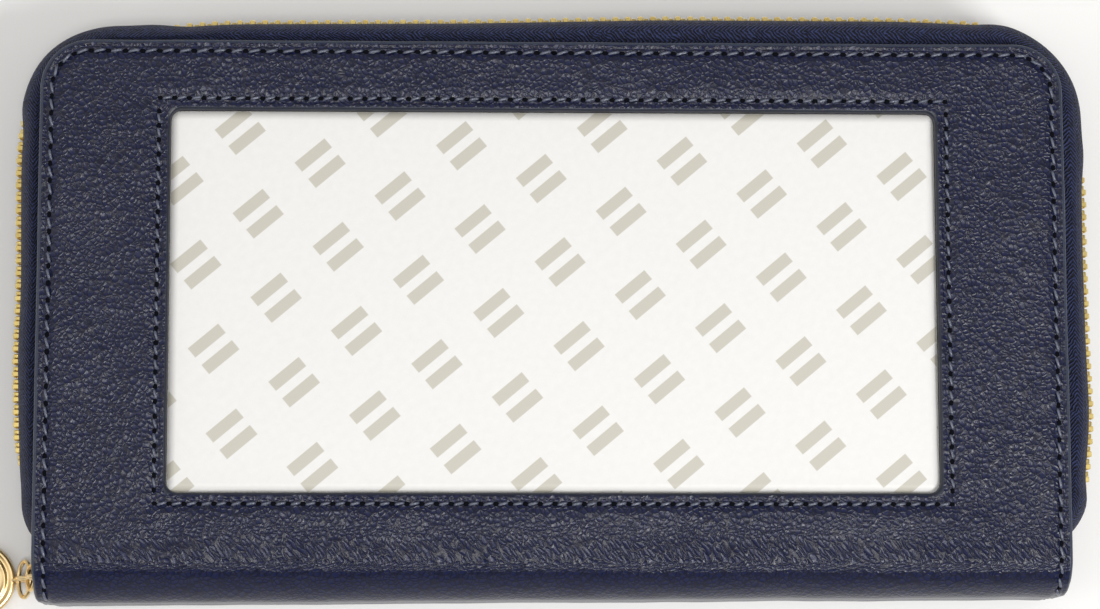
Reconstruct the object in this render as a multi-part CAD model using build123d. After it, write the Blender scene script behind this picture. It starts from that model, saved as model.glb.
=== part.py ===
"""Zip around wallet, lying closed on its back with the front cover and its window up.

Frame: millimetres, +Z up.  The origin is the centre of the flat back face.
+X runs along the spine, +Y points from the spine to the opening edge.
"""

import os
from math import atan2, cos, degrees, radians, sin

from build123d import *

# ---- whole wallet ----
COVER_WIDTH = 187.4
COVER_DEPTH = 101.6
THICKNESS = 25.0
COVER_CORNER = 9.0
SPINE_ROUNDING = 8.0
RIGHT = COVER_WIDTH / 2
TOP = COVER_DEPTH / 2
BOTTOM = -COVER_DEPTH / 2
HINGE_Y = BOTTOM + SPINE_ROUNDING
MIDDLE_Z = THICKNESS / 2
HINGE_GAP = 0.05
PANEL_LOW_Y = HINGE_Y + HINGE_GAP

# ---- layers of each panel, counted from its outer face ----
LEATHER = 1.4
BOARD = 1.0
CORE = 0.8
LINING = 0.8
BOARD_DEPTH = LEATHER
CORE_DEPTH = BOARD_DEPTH + BOARD
LINING_DEPTH = CORE_DEPTH + CORE
INSIDE_DEPTH = LINING_DEPTH + LINING
RIM = 1.2
BOARD_INSET = 1.25
CORE_INSET = 7.0
LINING_INSET = 2.5
LINING_NOTCH_X = 85.5
LINING_NOTCH_Y = -28.0

# ---- window in the front cover ----
WINDOW_WIDTH = 139.7
WINDOW_HEIGHT = 69.85
WINDOW_Y = 2.84
WINDOW_CORNER = 2.0
BOARD_SETBACK = 1.0
SHEET = 0.3
SHEET_GAP = 0.05
LINER_CLEARANCE = 0.15

# ---- sewn edges ----
THREAD_WIDTH = 0.5
THREAD_HEIGHT = 0.25
GROOVE_WIDTH = 0.8
GROOVE_DEPTH = 0.3
EDGE_STITCH_INSET = 2.2
EDGE_STITCH_PITCH = 3.13
EDGE_STITCH_LENGTH = 2.4
WINDOW_STITCH_OFFSET = 2.1
WINDOW_STITCH_PITCH = 2.66
WINDOW_STITCH_LENGTH = 2.0

# ---- main zip ----
ZIP_X = 98.0
ZIP_TOP_Y = 55.9
ZIP_CORNER = 18.0
LEFT_END_Y = -33.6
RIGHT_END_Y = -31.6
END_RADIUS = 11.0
TAPE = 0.8
TAPE_OUT = 0.5
TAPE_IN = -9.0
TAPE_BEND = 5.1
TAPE_STOP = 2.9
TOOTH_PITCH = 2.33
TOOTH_WIDTH = 0.95
TOOTH_THICK = 2.4
TOOTH_LENGTH = 3.6
TOOTH_REACH = 0.8
LEFT_END_TURN = 52.0
RIGHT_END_TURN = 68.0

# ---- main slider and its chain ----
SLIDER_TURN = 74.0
SLIDER_LENGTH = 8.0
SLIDER_WIDTH = 8.4
SLIDER_PLATE = 1.0
SLIDER_HALF_GAP = 1.35
SLIDER_FLANGE = 0.8
SLIDER_NOSE_RADIUS = 3.8
TAPE_SLOT = 0.45
CROWN_LENGTH = 4.7
CROWN_NOSE_X = -3.0
CROWN_RISE = 2.5
CROWN_WIRE = 0.9
CROWN_BAR = 0.8
RING_RADIUS = 1.9
RING_WIRE = 0.4
RING_GAP = 0.06
CROWN_GAP = 0.22
RING_SLOPES = (54.0, 62.0, 70.0, 82.0)
LOOP_RADIUS = 1.1
LOOP_WIRE = 0.35
LOOP_SLOPE = 85.0
MEDALLION_RADIUS = 6.9
MEDALLION_THICK = 1.8
MEDALLION_DISH = 0.35

# ---- inside: card pockets, pleats and coin pocket ----
CARD_SHEET = 0.5
CARD_POCKETS = 4
CARD_WIDTH = 87.5
CARD_GUTTER = 0.5
CARD_STEP = 10.0
CARD_LOW_Y = -38.0
CARD_HIGH_Y = 38.0
PLEAT_OUT_X = 92.0
PLEAT_IN_X = 77.0
PLEAT_CLOTH = 0.6
PLEAT_HEIGHT = 3.0
PLEAT_DEPTH = 7.0
PLEAT_LOW_Y = -40.0
PLEAT_HIGH_Y = 34.0
COIN_HALF_WIDTH = 74.0
COIN_WALL = 0.6
COIN_HALF_THICK = 2.05
COIN_LOW_Y = BOTTOM + LEATHER + LINING
COIN_HIGH_Y = 38.0
COIN_SEAM = 1.0
COIN_TAPE = 0.5
COIN_TAPE_LOW_Y = 30.0
COIN_TAPE_HIGH_Y = 39.4
COIN_TOOTH_PITCH = 2.5
COIN_TOOTH_WIDTH = 0.95
COIN_TOOTH_THICK = 1.5
COIN_TOOTH_LENGTH = 1.9
COIN_TOOTH_REACH = 0.35
COIN_ZIP_LEFT = -68.0
COIN_SLIDER_X = 66.0
COIN_SLIDER_LENGTH = 6.5
COIN_SLIDER_WIDTH = 4.4
COIN_PLATE = 0.8
COIN_PULL_LENGTH = 9.0
COIN_PULL_WIDTH = 3.2
COIN_PULL_THICK = 0.8
COIN_LUG_RADIUS = 0.9
COIN_LUG_THICK = 0.7
COIN_LUG_GAP = 0.05
COIN_PIN_RADIUS = 0.35


# ---- helpers ----
def mirrored(shape):
    """The same shape on the other cover, mirrored across the wallet's middle plane."""
    return mirror(shape, about=Plane.XY.offset(MIDDLE_Z))


def other_side(shape):
    """The same shape at the other end of the spine."""
    return mirror(shape, about=Plane.YZ)


def box_between(low, high):
    """A box from its low corner to its high corner."""
    size = [high[i] - low[i] for i in range(3)]
    centre = [(high[i] + low[i]) / 2 for i in range(3)]
    return Pos(*centre) * Box(*size)


def panel_outline(inset):
    """Cover outline from the hinge line to the opening edge, with two rounded corners."""
    width = COVER_WIDTH - 2 * inset
    depth = TOP - inset - PANEL_LOW_Y
    sketch = Pos(0, PANEL_LOW_Y + depth / 2) * Rectangle(width, depth)
    corners = sketch.vertices().group_by(Axis.Y)[-1]
    return fillet(corners, max(COVER_CORNER - inset, 1.0))


def panel(inset, depth_low, depth_high):
    """One layer of the back cover, between two depths from its outer face."""
    return Pos(0, 0, depth_low) * extrude(panel_outline(inset), depth_high - depth_low)


def window_outline(grow):
    """Window outline made larger all round by the given amount."""
    corner = max(WINDOW_CORNER + grow, 0.5)
    width = WINDOW_WIDTH + 2 * grow
    height = WINDOW_HEIGHT + 2 * grow
    return Pos(0, WINDOW_Y) * RectangleRounded(width, height, corner)


def window_block(grow, z_low, z_high):
    """A block filling the window between two heights."""
    return Pos(0, 0, z_low) * extrude(window_outline(grow), z_high - z_low)


def edge_groove(depth_low, depth_high):
    """The channel that the edge stitching lies in, round three sides of the back cover."""
    outer = panel(EDGE_STITCH_INSET - GROOVE_WIDTH / 2, depth_low, depth_high)
    inner = panel(EDGE_STITCH_INSET + GROOVE_WIDTH / 2, depth_low, depth_high)
    return outer - inner


def bars_along(path, pitch, size, z, margin=0.0):
    """Evenly spaced bars laid along a flat path, as a list of solids."""
    usable = path.length - 2 * margin
    count = int(usable / pitch)
    start = margin + (usable - (count - 1) * pitch) / 2
    bars = []
    for i in range(count):
        place = start + i * pitch
        point = path.position_at(place, position_mode=PositionMode.LENGTH)
        along = path.tangent_at(place, position_mode=PositionMode.LENGTH)
        turn = degrees(atan2(along.Y, along.X))
        bars.append(Pos(point.X, point.Y, z) * Rot(0, 0, turn) * Box(*size))
    return bars


# ---- back cover ----
def cover_skin():
    """Leather of one plain cover: a sheet with a turned rim and a sewing channel."""
    sheet = panel(0, 0, CORE_DEPTH)
    hollow = panel(RIM, LEATHER, CORE_DEPTH)
    return sheet - hollow - edge_groove(0, GROOVE_DEPTH)


def back_board():
    return panel(BOARD_INSET, BOARD_DEPTH, CORE_DEPTH)


def back_padding():
    return panel(CORE_INSET, CORE_DEPTH, LINING_DEPTH)


def back_lining():
    """Cloth lining, notched at both ends of the spine where the zip turns in."""
    sheet = panel(LINING_INSET, LINING_DEPTH, INSIDE_DEPTH)
    notch = box_between((-RIGHT, BOTTOM, 0), (-LINING_NOTCH_X, LINING_NOTCH_Y, THICKNESS))
    return sheet - notch - other_side(notch)


def edge_stitching():
    """Thread on three sides of the back cover, lying in its channel."""
    corner = COVER_CORNER - EDGE_STITCH_INSET
    x = RIGHT - EDGE_STITCH_INSET
    y = TOP - EDGE_STITCH_INSET
    path = FilletPolyline((-x, HINGE_Y), (-x, y), (x, y), (x, HINGE_Y), radius=corner)
    size = (EDGE_STITCH_LENGTH, THREAD_WIDTH, THREAD_HEIGHT)
    return bars_along(path, EDGE_STITCH_PITCH, size, GROOVE_DEPTH - THREAD_HEIGHT / 2)


def card_pockets():
    """Stepped card pockets for the left half of the back cover, the deepest first."""
    sheets = []
    for i in range(CARD_POCKETS):
        low = (-CARD_GUTTER - CARD_WIDTH, CARD_LOW_Y, INSIDE_DEPTH + i * CARD_SHEET)
        high = (-CARD_GUTTER, CARD_HIGH_Y - i * CARD_STEP, INSIDE_DEPTH + (i + 1) * CARD_SHEET)
        sheets.append(box_between(low, high))
    return sheets


def pleat():
    """One folded cloth pleat at the left end of the back compartment."""
    z = PLEAT_DEPTH
    lower = box_between(
        (-PLEAT_OUT_X, PLEAT_LOW_Y, z), (-PLEAT_IN_X, PLEAT_HIGH_Y, z + PLEAT_CLOTH)
    )
    upper = Pos(0, 0, PLEAT_HEIGHT - PLEAT_CLOTH) * lower
    fold = box_between(
        (-PLEAT_IN_X - PLEAT_CLOTH, PLEAT_LOW_Y, z),
        (-PLEAT_IN_X, PLEAT_HIGH_Y, z + PLEAT_HEIGHT),
    )
    return lower + upper + fold


# ---- front cover ----
def front_skin():
    """Leather of the front cover with its window and the window's sewing channel."""
    skin = mirrored(cover_skin())
    window = window_block(0, THICKNESS - CORE_DEPTH, THICKNESS + 1)
    channel_low = THICKNESS - GROOVE_DEPTH
    outer = window_block(WINDOW_STITCH_OFFSET + GROOVE_WIDTH / 2, channel_low, THICKNESS + 1)
    inner = window_block(WINDOW_STITCH_OFFSET - GROOVE_WIDTH / 2, channel_low, THICKNESS + 1)
    return skin - window - (outer - inner)


def front_board():
    """Frame board under the leather, set back a little from the window's edge."""
    z = THICKNESS - CORE_DEPTH
    return mirrored(back_board()) - window_block(BOARD_SETBACK, z - 1, THICKNESS)


def window_floor_z():
    """Top of the backing board that closes the window from below."""
    return THICKNESS - CORE_DEPTH


def adhesive_sheet():
    return window_block(0, window_floor_z(), window_floor_z() + SHEET)


def release_liner():
    low = window_floor_z() + SHEET + SHEET_GAP
    return window_block(-LINER_CLEARANCE, low, low + SHEET)


def window_stitching():
    """Thread round the window, four straight rows that meet at the corners."""
    half_width = WINDOW_WIDTH / 2 + WINDOW_STITCH_OFFSET
    half_height = WINDOW_HEIGHT / 2 + WINDOW_STITCH_OFFSET
    corners = [
        (-half_width, WINDOW_Y - half_height),
        (half_width, WINDOW_Y - half_height),
        (half_width, WINDOW_Y + half_height),
        (-half_width, WINDOW_Y + half_height),
    ]
    size = (WINDOW_STITCH_LENGTH, THREAD_WIDTH, THREAD_HEIGHT)
    z = THICKNESS - GROOVE_DEPTH + THREAD_HEIGHT / 2
    bars = []
    for i, corner in enumerate(corners):
        row = Line(corner, corners[(i + 1) % 4])
        bars += bars_along(row, WINDOW_STITCH_PITCH, size, z, margin=1.5)
    return bars


# ---- spine ----
def spine_profile(inset):
    """Solid D shape of the spine seen from its end, in the YZ plane."""
    beyond = 5.0
    depth = HINGE_Y - BOTTOM - inset + beyond
    height = THICKNESS - 2 * inset
    sketch = Pos(HINGE_Y + beyond - depth / 2, MIDDLE_Z) * Rectangle(depth, height)
    corners = sketch.vertices().group_by(Axis.X)[0]
    rounded = fillet(corners, SPINE_ROUNDING - inset)
    return rounded - Pos(HINGE_Y + beyond, MIDDLE_Z) * Rectangle(2 * beyond, THICKNESS + 1)


def spine_shell(inset_out, inset_in, half_length):
    """A curved strip of the spine between two depths from its outer face."""
    ring = spine_profile(inset_out) - spine_profile(inset_in)
    strip = extrude(Plane.YZ * ring, half_length, both=True)
    return strip


def spine_skin():
    skin = spine_shell(0, LEATHER, RIGHT)
    channel = spine_shell(0, GROOVE_DEPTH, GROOVE_WIDTH / 2)
    x = RIGHT - EDGE_STITCH_INSET
    return skin - Pos(x, 0, 0) * channel - Pos(-x, 0, 0) * channel


def spine_lining():
    return spine_shell(LEATHER, LEATHER + LINING, RIGHT - 7.7)


def spine_stitching():
    """Thread along both ends of the spine, following its curve."""
    depth = GROOVE_DEPTH - THREAD_HEIGHT / 2
    y = BOTTOM + depth
    z_low = depth
    z_high = THICKNESS - depth
    radius = SPINE_ROUNDING - depth
    lead = 1.0
    far_y = HINGE_Y + lead
    path = FilletPolyline((far_y, z_low), (y, z_low), (y, z_high), (far_y, z_high), radius=radius)
    size = (EDGE_STITCH_LENGTH, THREAD_HEIGHT, THREAD_WIDTH)
    bars = []
    for bar in bars_along(path, EDGE_STITCH_PITCH, size, 0, margin=lead + 0.2):
        upright = Plane.YZ * bar
        for x in (RIGHT - EDGE_STITCH_INSET, EDGE_STITCH_INSET - RIGHT):
            bars.append(Pos(x, 0, 0) * upright)
    return bars


# ---- main zip ----
def zip_path():
    """Centre line of the closed teeth, up the left side, along the top and down the right."""
    return FilletPolyline(
        (-ZIP_X, LEFT_END_Y),
        (-ZIP_X, ZIP_TOP_Y),
        (ZIP_X, ZIP_TOP_Y),
        (ZIP_X, RIGHT_END_Y),
        radius=ZIP_CORNER,
    )


def tape_section():
    """Front tape cut across: flat under the cover, then bending down to the teeth.

    First coordinate is the distance outward from the teeth, second is height.
    """
    high = THICKNESS - CORE_DEPTH
    bend_x = TAPE_OUT - TAPE_BEND
    bend_z = high - TAPE_BEND
    stop_z = MIDDLE_Z + TAPE_STOP
    slant = sin(radians(45))
    inner_bend = TAPE_BEND - TAPE
    top = Line((TAPE_IN, high), (bend_x, high))
    outer = ThreePointArc(
        (bend_x, high),
        (bend_x + TAPE_BEND * slant, bend_z + TAPE_BEND * slant),
        (TAPE_OUT, bend_z),
    )
    outer_drop = Line((TAPE_OUT, bend_z), (TAPE_OUT, stop_z))
    foot = Line((TAPE_OUT, stop_z), (TAPE_OUT - TAPE, stop_z))
    inner_drop = Line((TAPE_OUT - TAPE, stop_z), (TAPE_OUT - TAPE, bend_z))
    inner = ThreePointArc(
        (TAPE_OUT - TAPE, bend_z),
        (bend_x + inner_bend * slant, bend_z + inner_bend * slant),
        (bend_x, high - TAPE),
    )
    under = Line((bend_x, high - TAPE), (TAPE_IN, high - TAPE))
    back = Line((TAPE_IN, high - TAPE), (TAPE_IN, high))
    return make_face([top, outer, outer_drop, foot, inner_drop, inner, under, back])


def tape_start_plane():
    """Plane across the tape where the left straight run begins, looking along the run."""
    return Plane(origin=(-ZIP_X, LEFT_END_Y, 0), x_dir=(-1, 0, 0), z_dir=(0, 1, 0))


def front_tape():
    return sweep(tape_start_plane() * tape_section(), path=zip_path())


def end_tape(centre_y, turn):
    """Front tape where it turns in under the covers at the left end of the spine."""
    face = Pos(0, centre_y - LEFT_END_Y, 0) * (tape_start_plane() * tape_section())
    pivot = Axis((END_RADIUS - ZIP_X, centre_y, 0), (0, 0, 1))
    return revolve(face, axis=pivot, revolution_arc=turn)


def tooth_size():
    return (TOOTH_WIDTH, TOOTH_THICK, TOOTH_LENGTH)


def tooth_z():
    """Centre height of the front row, whose heads reach just past the middle."""
    return MIDDLE_Z - TOOTH_REACH + TOOTH_LENGTH / 2


def teeth_row(shift):
    """Teeth of one row along the main run, shifted along it by part of a pitch."""
    path = zip_path()
    count = int(path.length / TOOTH_PITCH) - 1
    teeth = []
    for i in range(count):
        place = (i + 0.5 + shift) * TOOTH_PITCH
        point = path.position_at(place, position_mode=PositionMode.LENGTH)
        along = path.tangent_at(place, position_mode=PositionMode.LENGTH)
        turn = degrees(atan2(along.Y, along.X))
        teeth.append(Pos(point.X, point.Y, tooth_z()) * Rot(0, 0, turn) * Box(*tooth_size()))
    return teeth


def end_teeth(centre_y, turn):
    """Both rows of teeth round the left end, alternating front and back."""
    step = degrees(TOOTH_PITCH / END_RADIUS / 2)
    teeth = []
    for i in range(int(turn / step)):
        angle = (i + 0.5) * step
        tooth = Pos(-END_RADIUS, 0, tooth_z()) * Rot(0, 0, 90) * Box(*tooth_size())
        placed = Pos(END_RADIUS - ZIP_X, centre_y, 0) * Rot(0, 0, angle) * tooth
        teeth.append(placed if i % 2 else mirrored(placed))
    return teeth


def bottom_stop():
    """Metal stop that clamps both tapes where the zip ends inside the right corner."""
    size = (2.0, TOOTH_THICK, 2 * TOOTH_LENGTH)
    stop = Pos(-END_RADIUS, 0, MIDDLE_Z) * Rot(0, 0, 90) * Box(*size)
    turn = RIGHT_END_TURN + degrees(1.4 / END_RADIUS)
    return other_side(Pos(END_RADIUS - ZIP_X, RIGHT_END_Y, 0) * Rot(0, 0, turn) * stop)


# ---- main slider, chain and medallion ----
def slider_plane():
    """Plane on the slider: x toward its tucked end, y outward from the teeth."""
    turn = radians(SLIDER_TURN)
    along = (sin(turn), -cos(turn), 0)
    centre_x = END_RADIUS - ZIP_X - END_RADIUS * cos(turn)
    centre_y = LEFT_END_Y - END_RADIUS * sin(turn)
    return Plane(origin=(centre_x, centre_y, MIDDLE_Z), x_dir=along, z_dir=(0, 0, -1))


def slider_body():
    """Two plates joined by a post at the front, with flanges that leave room for the tapes."""
    half = SLIDER_LENGTH / 2
    wide = SLIDER_WIDTH / 2
    plate = box_between(
        (-half, SLIDER_HALF_GAP, -wide), (half, SLIDER_HALF_GAP + SLIDER_PLATE, wide)
    )
    nose = plate.edges().filter_by(Axis.Y).group_by(Axis.X)[0]
    plate = fillet(nose, SLIDER_NOSE_RADIUS)
    flange = box_between(
        (-half + SLIDER_NOSE_RADIUS, TAPE_SLOT, wide - SLIDER_FLANGE),
        (half, SLIDER_HALF_GAP, wide),
    )
    cheek = plate + flange + mirror(flange, about=Plane.XY)
    post = box_between(
        (-half + 0.4, -SLIDER_HALF_GAP, -1.0), (-half + 2.4, SLIDER_HALF_GAP, 1.0)
    )
    body = cheek + mirror(cheek, about=Plane.XZ) + post
    return slider_plane() * body


def crown_floor():
    return SLIDER_HALF_GAP + SLIDER_PLATE


def slider_crown():
    """Arched bail on the outer plate that the first ring hangs from."""
    low = crown_floor()
    far_x = CROWN_NOSE_X + CROWN_LENGTH
    outer = box_between(
        (CROWN_NOSE_X, low, -CROWN_WIRE / 2), (far_x, low + CROWN_RISE, CROWN_WIRE / 2)
    )
    outer = fillet(outer.edges().filter_by(Axis.Z).group_by(Axis.Y)[-1], 0.9)
    hole = box_between(
        (CROWN_NOSE_X + CROWN_WIRE, low - 1, -1),
        (far_x - CROWN_WIRE, low + CROWN_RISE - CROWN_BAR, 1),
    )
    return slider_plane() * (outer - hole)


def crown_leg():
    """Middle of the crown's leg nearest the slider's nose, where the first ring turns."""
    hole_middle = crown_floor() + (CROWN_RISE - CROWN_BAR) / 2
    local = Vector(CROWN_NOSE_X + CROWN_WIRE / 2, hole_middle, 0)
    return slider_plane().from_local_coords(local)


def down_slope(slope):
    """Unit vector pointing left and down by an angle below level."""
    return Vector(-cos(radians(slope)), 0, -sin(radians(slope)))


def chain_points():
    """Turning points of the four rings and the medallion, and the five centres."""
    wire_gap = 2 * RING_WIRE + RING_GAP
    crown_reach = RING_RADIUS - (CROWN_WIRE / 2 + RING_WIRE + CROWN_GAP)
    next_reach = RING_RADIUS - wire_gap
    loop_reach = LOOP_RADIUS - (RING_WIRE + LOOP_WIRE + RING_GAP)
    first, second, third, fourth = [down_slope(s) for s in RING_SLOPES]
    pivots = [crown_leg()]
    centres = [pivots[0] + first * crown_reach]
    pivots.append(centres[0] + first * next_reach)
    centres.append(pivots[1] + second * RING_RADIUS)
    pivots.append(pivots[1] + second * (2 * RING_RADIUS))
    centres.append(pivots[2] + third * next_reach)
    pivots.append(centres[2] + third * next_reach)
    centres.append(pivots[3] + fourth * RING_RADIUS)
    pivots.append(pivots[3] + fourth * (2 * RING_RADIUS))
    centres.append(pivots[4] + down_slope(LOOP_SLOPE) * loop_reach)
    return pivots, centres


def pull_ring(number):
    """Round wire link; the first and third stand upright, the others lie across them."""
    centre = chain_points()[1][number]
    ring = Torus(RING_RADIUS, RING_WIRE)
    if number % 2:
        return Pos(*centre) * Rot(0, -RING_SLOPES[number], 0) * ring
    return Pos(*centre) * Rot(90, 0, 0) * ring


def medallion():
    """Round plate with a raised double rim on both faces and an upright loop at its edge."""
    loop_centre = chain_points()[1][4]
    centre = loop_centre + Vector(-(MEDALLION_RADIUS + LOOP_RADIUS - 0.3), 0, 0)
    z = MEDALLION_THICK / 2
    disc = Cylinder(MEDALLION_RADIUS, MEDALLION_THICK)
    disc = fillet(disc.edges(), 0.4)
    for side in (1, -1):
        face_z = side * (MEDALLION_THICK - MEDALLION_DISH) / 2
        dish = Cylinder(MEDALLION_RADIUS - 1.8, MEDALLION_DISH + 0.001)
        line = Cylinder(MEDALLION_RADIUS - 0.8, MEDALLION_DISH / 2)
        line = line - Cylinder(MEDALLION_RADIUS - 1.1, MEDALLION_DISH)
        disc = disc - Pos(0, 0, face_z) * dish
        disc = disc - Pos(0, 0, side * (MEDALLION_THICK - MEDALLION_DISH / 2) / 2) * line
    loop = Pos(*loop_centre) * Rot(90, 0, 0) * Torus(LOOP_RADIUS, LOOP_WIRE)
    return Pos(centre.X, centre.Y, z + 0.05) * disc + loop


# ---- coin pocket in the middle of the wallet, carried by the spine ----
def coin_wall():
    """Cloth wall of the coin pocket nearest the back cover."""
    z = MIDDLE_Z - COIN_HALF_THICK
    return box_between(
        (-COIN_HALF_WIDTH, COIN_LOW_Y, z), (COIN_HALF_WIDTH, COIN_HIGH_Y, z + COIN_WALL)
    )


def coin_seam():
    """Strip that closes the pocket along the spine and at both ends."""
    z = COIN_HALF_THICK - COIN_WALL
    outer = box_between(
        (-COIN_HALF_WIDTH, COIN_LOW_Y, MIDDLE_Z - z), (COIN_HALF_WIDTH, COIN_HIGH_Y, MIDDLE_Z + z)
    )
    inner = box_between(
        (COIN_SEAM - COIN_HALF_WIDTH, COIN_LOW_Y + COIN_SEAM, 0),
        (COIN_HALF_WIDTH - COIN_SEAM, COIN_HIGH_Y + 1, THICKNESS),
    )
    return outer - inner


def coin_tapes():
    """The two zip tapes sewn inside the mouth of the coin pocket."""
    z = MIDDLE_Z - COIN_HALF_THICK + COIN_WALL
    x = COIN_HALF_WIDTH - COIN_SEAM
    tape = box_between((-x, COIN_TAPE_LOW_Y, z), (x, COIN_TAPE_HIGH_Y, z + COIN_TAPE))
    return [tape, mirrored(tape)]


def coin_teeth():
    """Both rows of the coin zip's teeth, alternating along X up to the slider."""
    run = COIN_SLIDER_X - COIN_SLIDER_LENGTH / 2 - COIN_ZIP_LEFT
    step = COIN_TOOTH_PITCH / 2
    z = MIDDLE_Z + COIN_TOOTH_REACH - COIN_TOOTH_LENGTH / 2
    y = COIN_TAPE_HIGH_Y + COIN_TOOTH_THICK / 2
    teeth = []
    for i in range(int(run / step)):
        x = COIN_ZIP_LEFT + (i + 0.5) * step
        tooth = Pos(x, y, z) * Box(COIN_TOOTH_WIDTH, COIN_TOOTH_THICK, COIN_TOOTH_LENGTH)
        teeth.append(tooth if i % 2 else mirrored(tooth))
    return teeth


def coin_stops():
    """Metal stops at both ends of the coin zip."""
    y = COIN_TAPE_HIGH_Y + COIN_TOOTH_THICK / 2
    stops = []
    for x in (COIN_ZIP_LEFT - 1.2, COIN_SLIDER_X + COIN_SLIDER_LENGTH / 2 + 1.2):
        stops.append(Pos(x, y, MIDDLE_Z) * Box(1.6, COIN_TOOTH_THICK, 2 * COIN_TOOTH_LENGTH))
    return stops


def coin_outer_y():
    """Outer face of the coin slider, where its lugs stand."""
    return COIN_TAPE_HIGH_Y + COIN_TOOTH_THICK + 0.15 + COIN_PLATE


def coin_hinge_y():
    return coin_outer_y() + COIN_LUG_RADIUS


def coin_slider():
    """Slider on the coin zip: two plates, the post between them and two lugs with a pin."""
    half = COIN_SLIDER_LENGTH / 2
    wide = COIN_SLIDER_WIDTH / 2
    outer_y = coin_outer_y()
    outer = box_between(
        (-half, outer_y - COIN_PLATE, -wide), (half, outer_y, wide)
    )
    inner = box_between(
        (-half, COIN_TAPE_HIGH_Y - 0.15 - COIN_PLATE, -0.9), (half, COIN_TAPE_HIGH_Y - 0.15, 0.9)
    )
    post = box_between((half - 2.0, COIN_TAPE_HIGH_Y - 0.5, -0.8), (half - 0.4, outer_y - 0.2, 0.8))
    body = outer + inner + post
    lug = Cylinder(COIN_LUG_RADIUS, COIN_LUG_THICK)
    lug = lug + Pos(0, -COIN_LUG_RADIUS / 2, 0) * Box(
        2 * COIN_LUG_RADIUS, COIN_LUG_RADIUS, COIN_LUG_THICK
    )
    lug_z = COIN_PULL_WIDTH / 4 + COIN_LUG_GAP + COIN_LUG_THICK / 2
    for side in (1, -1):
        body = body + Pos(0, coin_hinge_y(), side * lug_z) * lug
    body = body + Pos(0, coin_hinge_y(), 0) * Cylinder(COIN_PIN_RADIUS, 2 * lug_z)
    return Pos(COIN_SLIDER_X, 0, MIDDLE_Z) * body


def coin_puller():
    """Small flat tab that turns on the coin slider's pin and lies back along the teeth."""
    eye = Cylinder(COIN_LUG_RADIUS, COIN_PULL_WIDTH / 2)
    neck = box_between(
        (-3.0, COIN_LUG_RADIUS - COIN_PULL_THICK, -COIN_PULL_WIDTH / 4),
        (0, COIN_LUG_RADIUS, COIN_PULL_WIDTH / 4),
    )
    tab = box_between(
        (-COIN_PULL_LENGTH, COIN_LUG_RADIUS - COIN_PULL_THICK, -COIN_PULL_WIDTH / 2),
        (-2.2, COIN_LUG_RADIUS, COIN_PULL_WIDTH / 2),
    )
    tab = fillet(tab.edges().filter_by(Axis.Y), 0.8)
    bore = Cylinder(COIN_PIN_RADIUS + COIN_LUG_GAP, COIN_PULL_WIDTH)
    pull = (eye + neck + tab) - bore
    return Pos(COIN_SLIDER_X, coin_hinge_y(), MIDDLE_Z) * pull


# ---- all nodes ----
def back_nodes():
    right_end = [other_side(s) for s in end_teeth(RIGHT_END_Y, RIGHT_END_TURN)]
    left_tape = end_tape(LEFT_END_Y, LEFT_END_TURN)
    right_tape = other_side(end_tape(RIGHT_END_Y, RIGHT_END_TURN))
    return {
        "back_cover_leather": cover_skin(),
        "back_board": back_board(),
        "back_padding": back_padding(),
        "back_lining": back_lining(),
        "back_edge_stitching": edge_stitching(),
        "back_card_pockets_left": card_pockets(),
        "back_card_pockets_right": [other_side(s) for s in card_pockets()],
        "back_pleats": [pleat(), other_side(pleat())],
        "back_zip_tape": mirrored(front_tape()),
        "back_zip_teeth": [mirrored(t) for t in teeth_row(0.5)],
        "left_zip_end_tapes": [left_tape, mirrored(left_tape)],
        "left_zip_end_teeth": end_teeth(LEFT_END_Y, LEFT_END_TURN),
        "right_zip_end_tapes": [right_tape, mirrored(right_tape)],
        "right_zip_end_teeth": right_end,
        "zip_bottom_stop": bottom_stop(),
    }


def spine_nodes():
    return {
        "spine_leather": spine_skin(),
        "spine_lining": spine_lining(),
        "spine_edge_stitching": spine_stitching(),
        "coin_wall_back": coin_wall(),
        "coin_wall_front": mirrored(coin_wall()),
        "coin_pocket_seam": coin_seam(),
        "coin_zip_tapes": coin_tapes(),
        "coin_zip_teeth": coin_teeth(),
        "coin_zip_stops": coin_stops(),
    }


def front_nodes():
    pockets = [mirrored(s) for s in card_pockets()]
    return {
        "front_cover_leather": front_skin(),
        "front_frame_board": front_board(),
        "front_backing_board": mirrored(back_padding()),
        "adhesive_sheet": adhesive_sheet(),
        "front_lining": mirrored(back_lining()),
        "front_edge_stitching": [mirrored(s) for s in edge_stitching()],
        "window_stitching": window_stitching(),
        "front_card_pockets_left": pockets,
        "front_card_pockets_right": [other_side(s) for s in pockets],
        "front_pleats": [mirrored(pleat()), mirrored(other_side(pleat()))],
        "front_zip_tape": front_tape(),
        "front_zip_teeth": teeth_row(0),
    }


def small_nodes():
    nodes = {
        "release_liner": release_liner(),
        "zip_slider_body": slider_body(),
        "zip_slider_crown": slider_crown(),
        "medallion": medallion(),
        "coin_slider_body": coin_slider(),
        "coin_puller": coin_puller(),
    }
    for number in range(4):
        nodes[f"pull_ring_{number + 1}"] = pull_ring(number)
    return nodes


def main():
    os.makedirs("parts", exist_ok=True)
    nodes = {**back_nodes(), **spine_nodes(), **front_nodes(), **small_nodes()}
    for name, shape in nodes.items():
        if isinstance(shape, list):
            shape = Compound(shape)
        export_step(shape, f"parts/{name}.step")
    pivots, _ = chain_points()
    for number, pivot in enumerate(pivots):
        print("chain pivot", number + 1, [round(v, 3) for v in pivot])
    print("coin hinge y", round(coin_hinge_y(), 3))


main()
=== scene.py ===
import math

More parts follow.
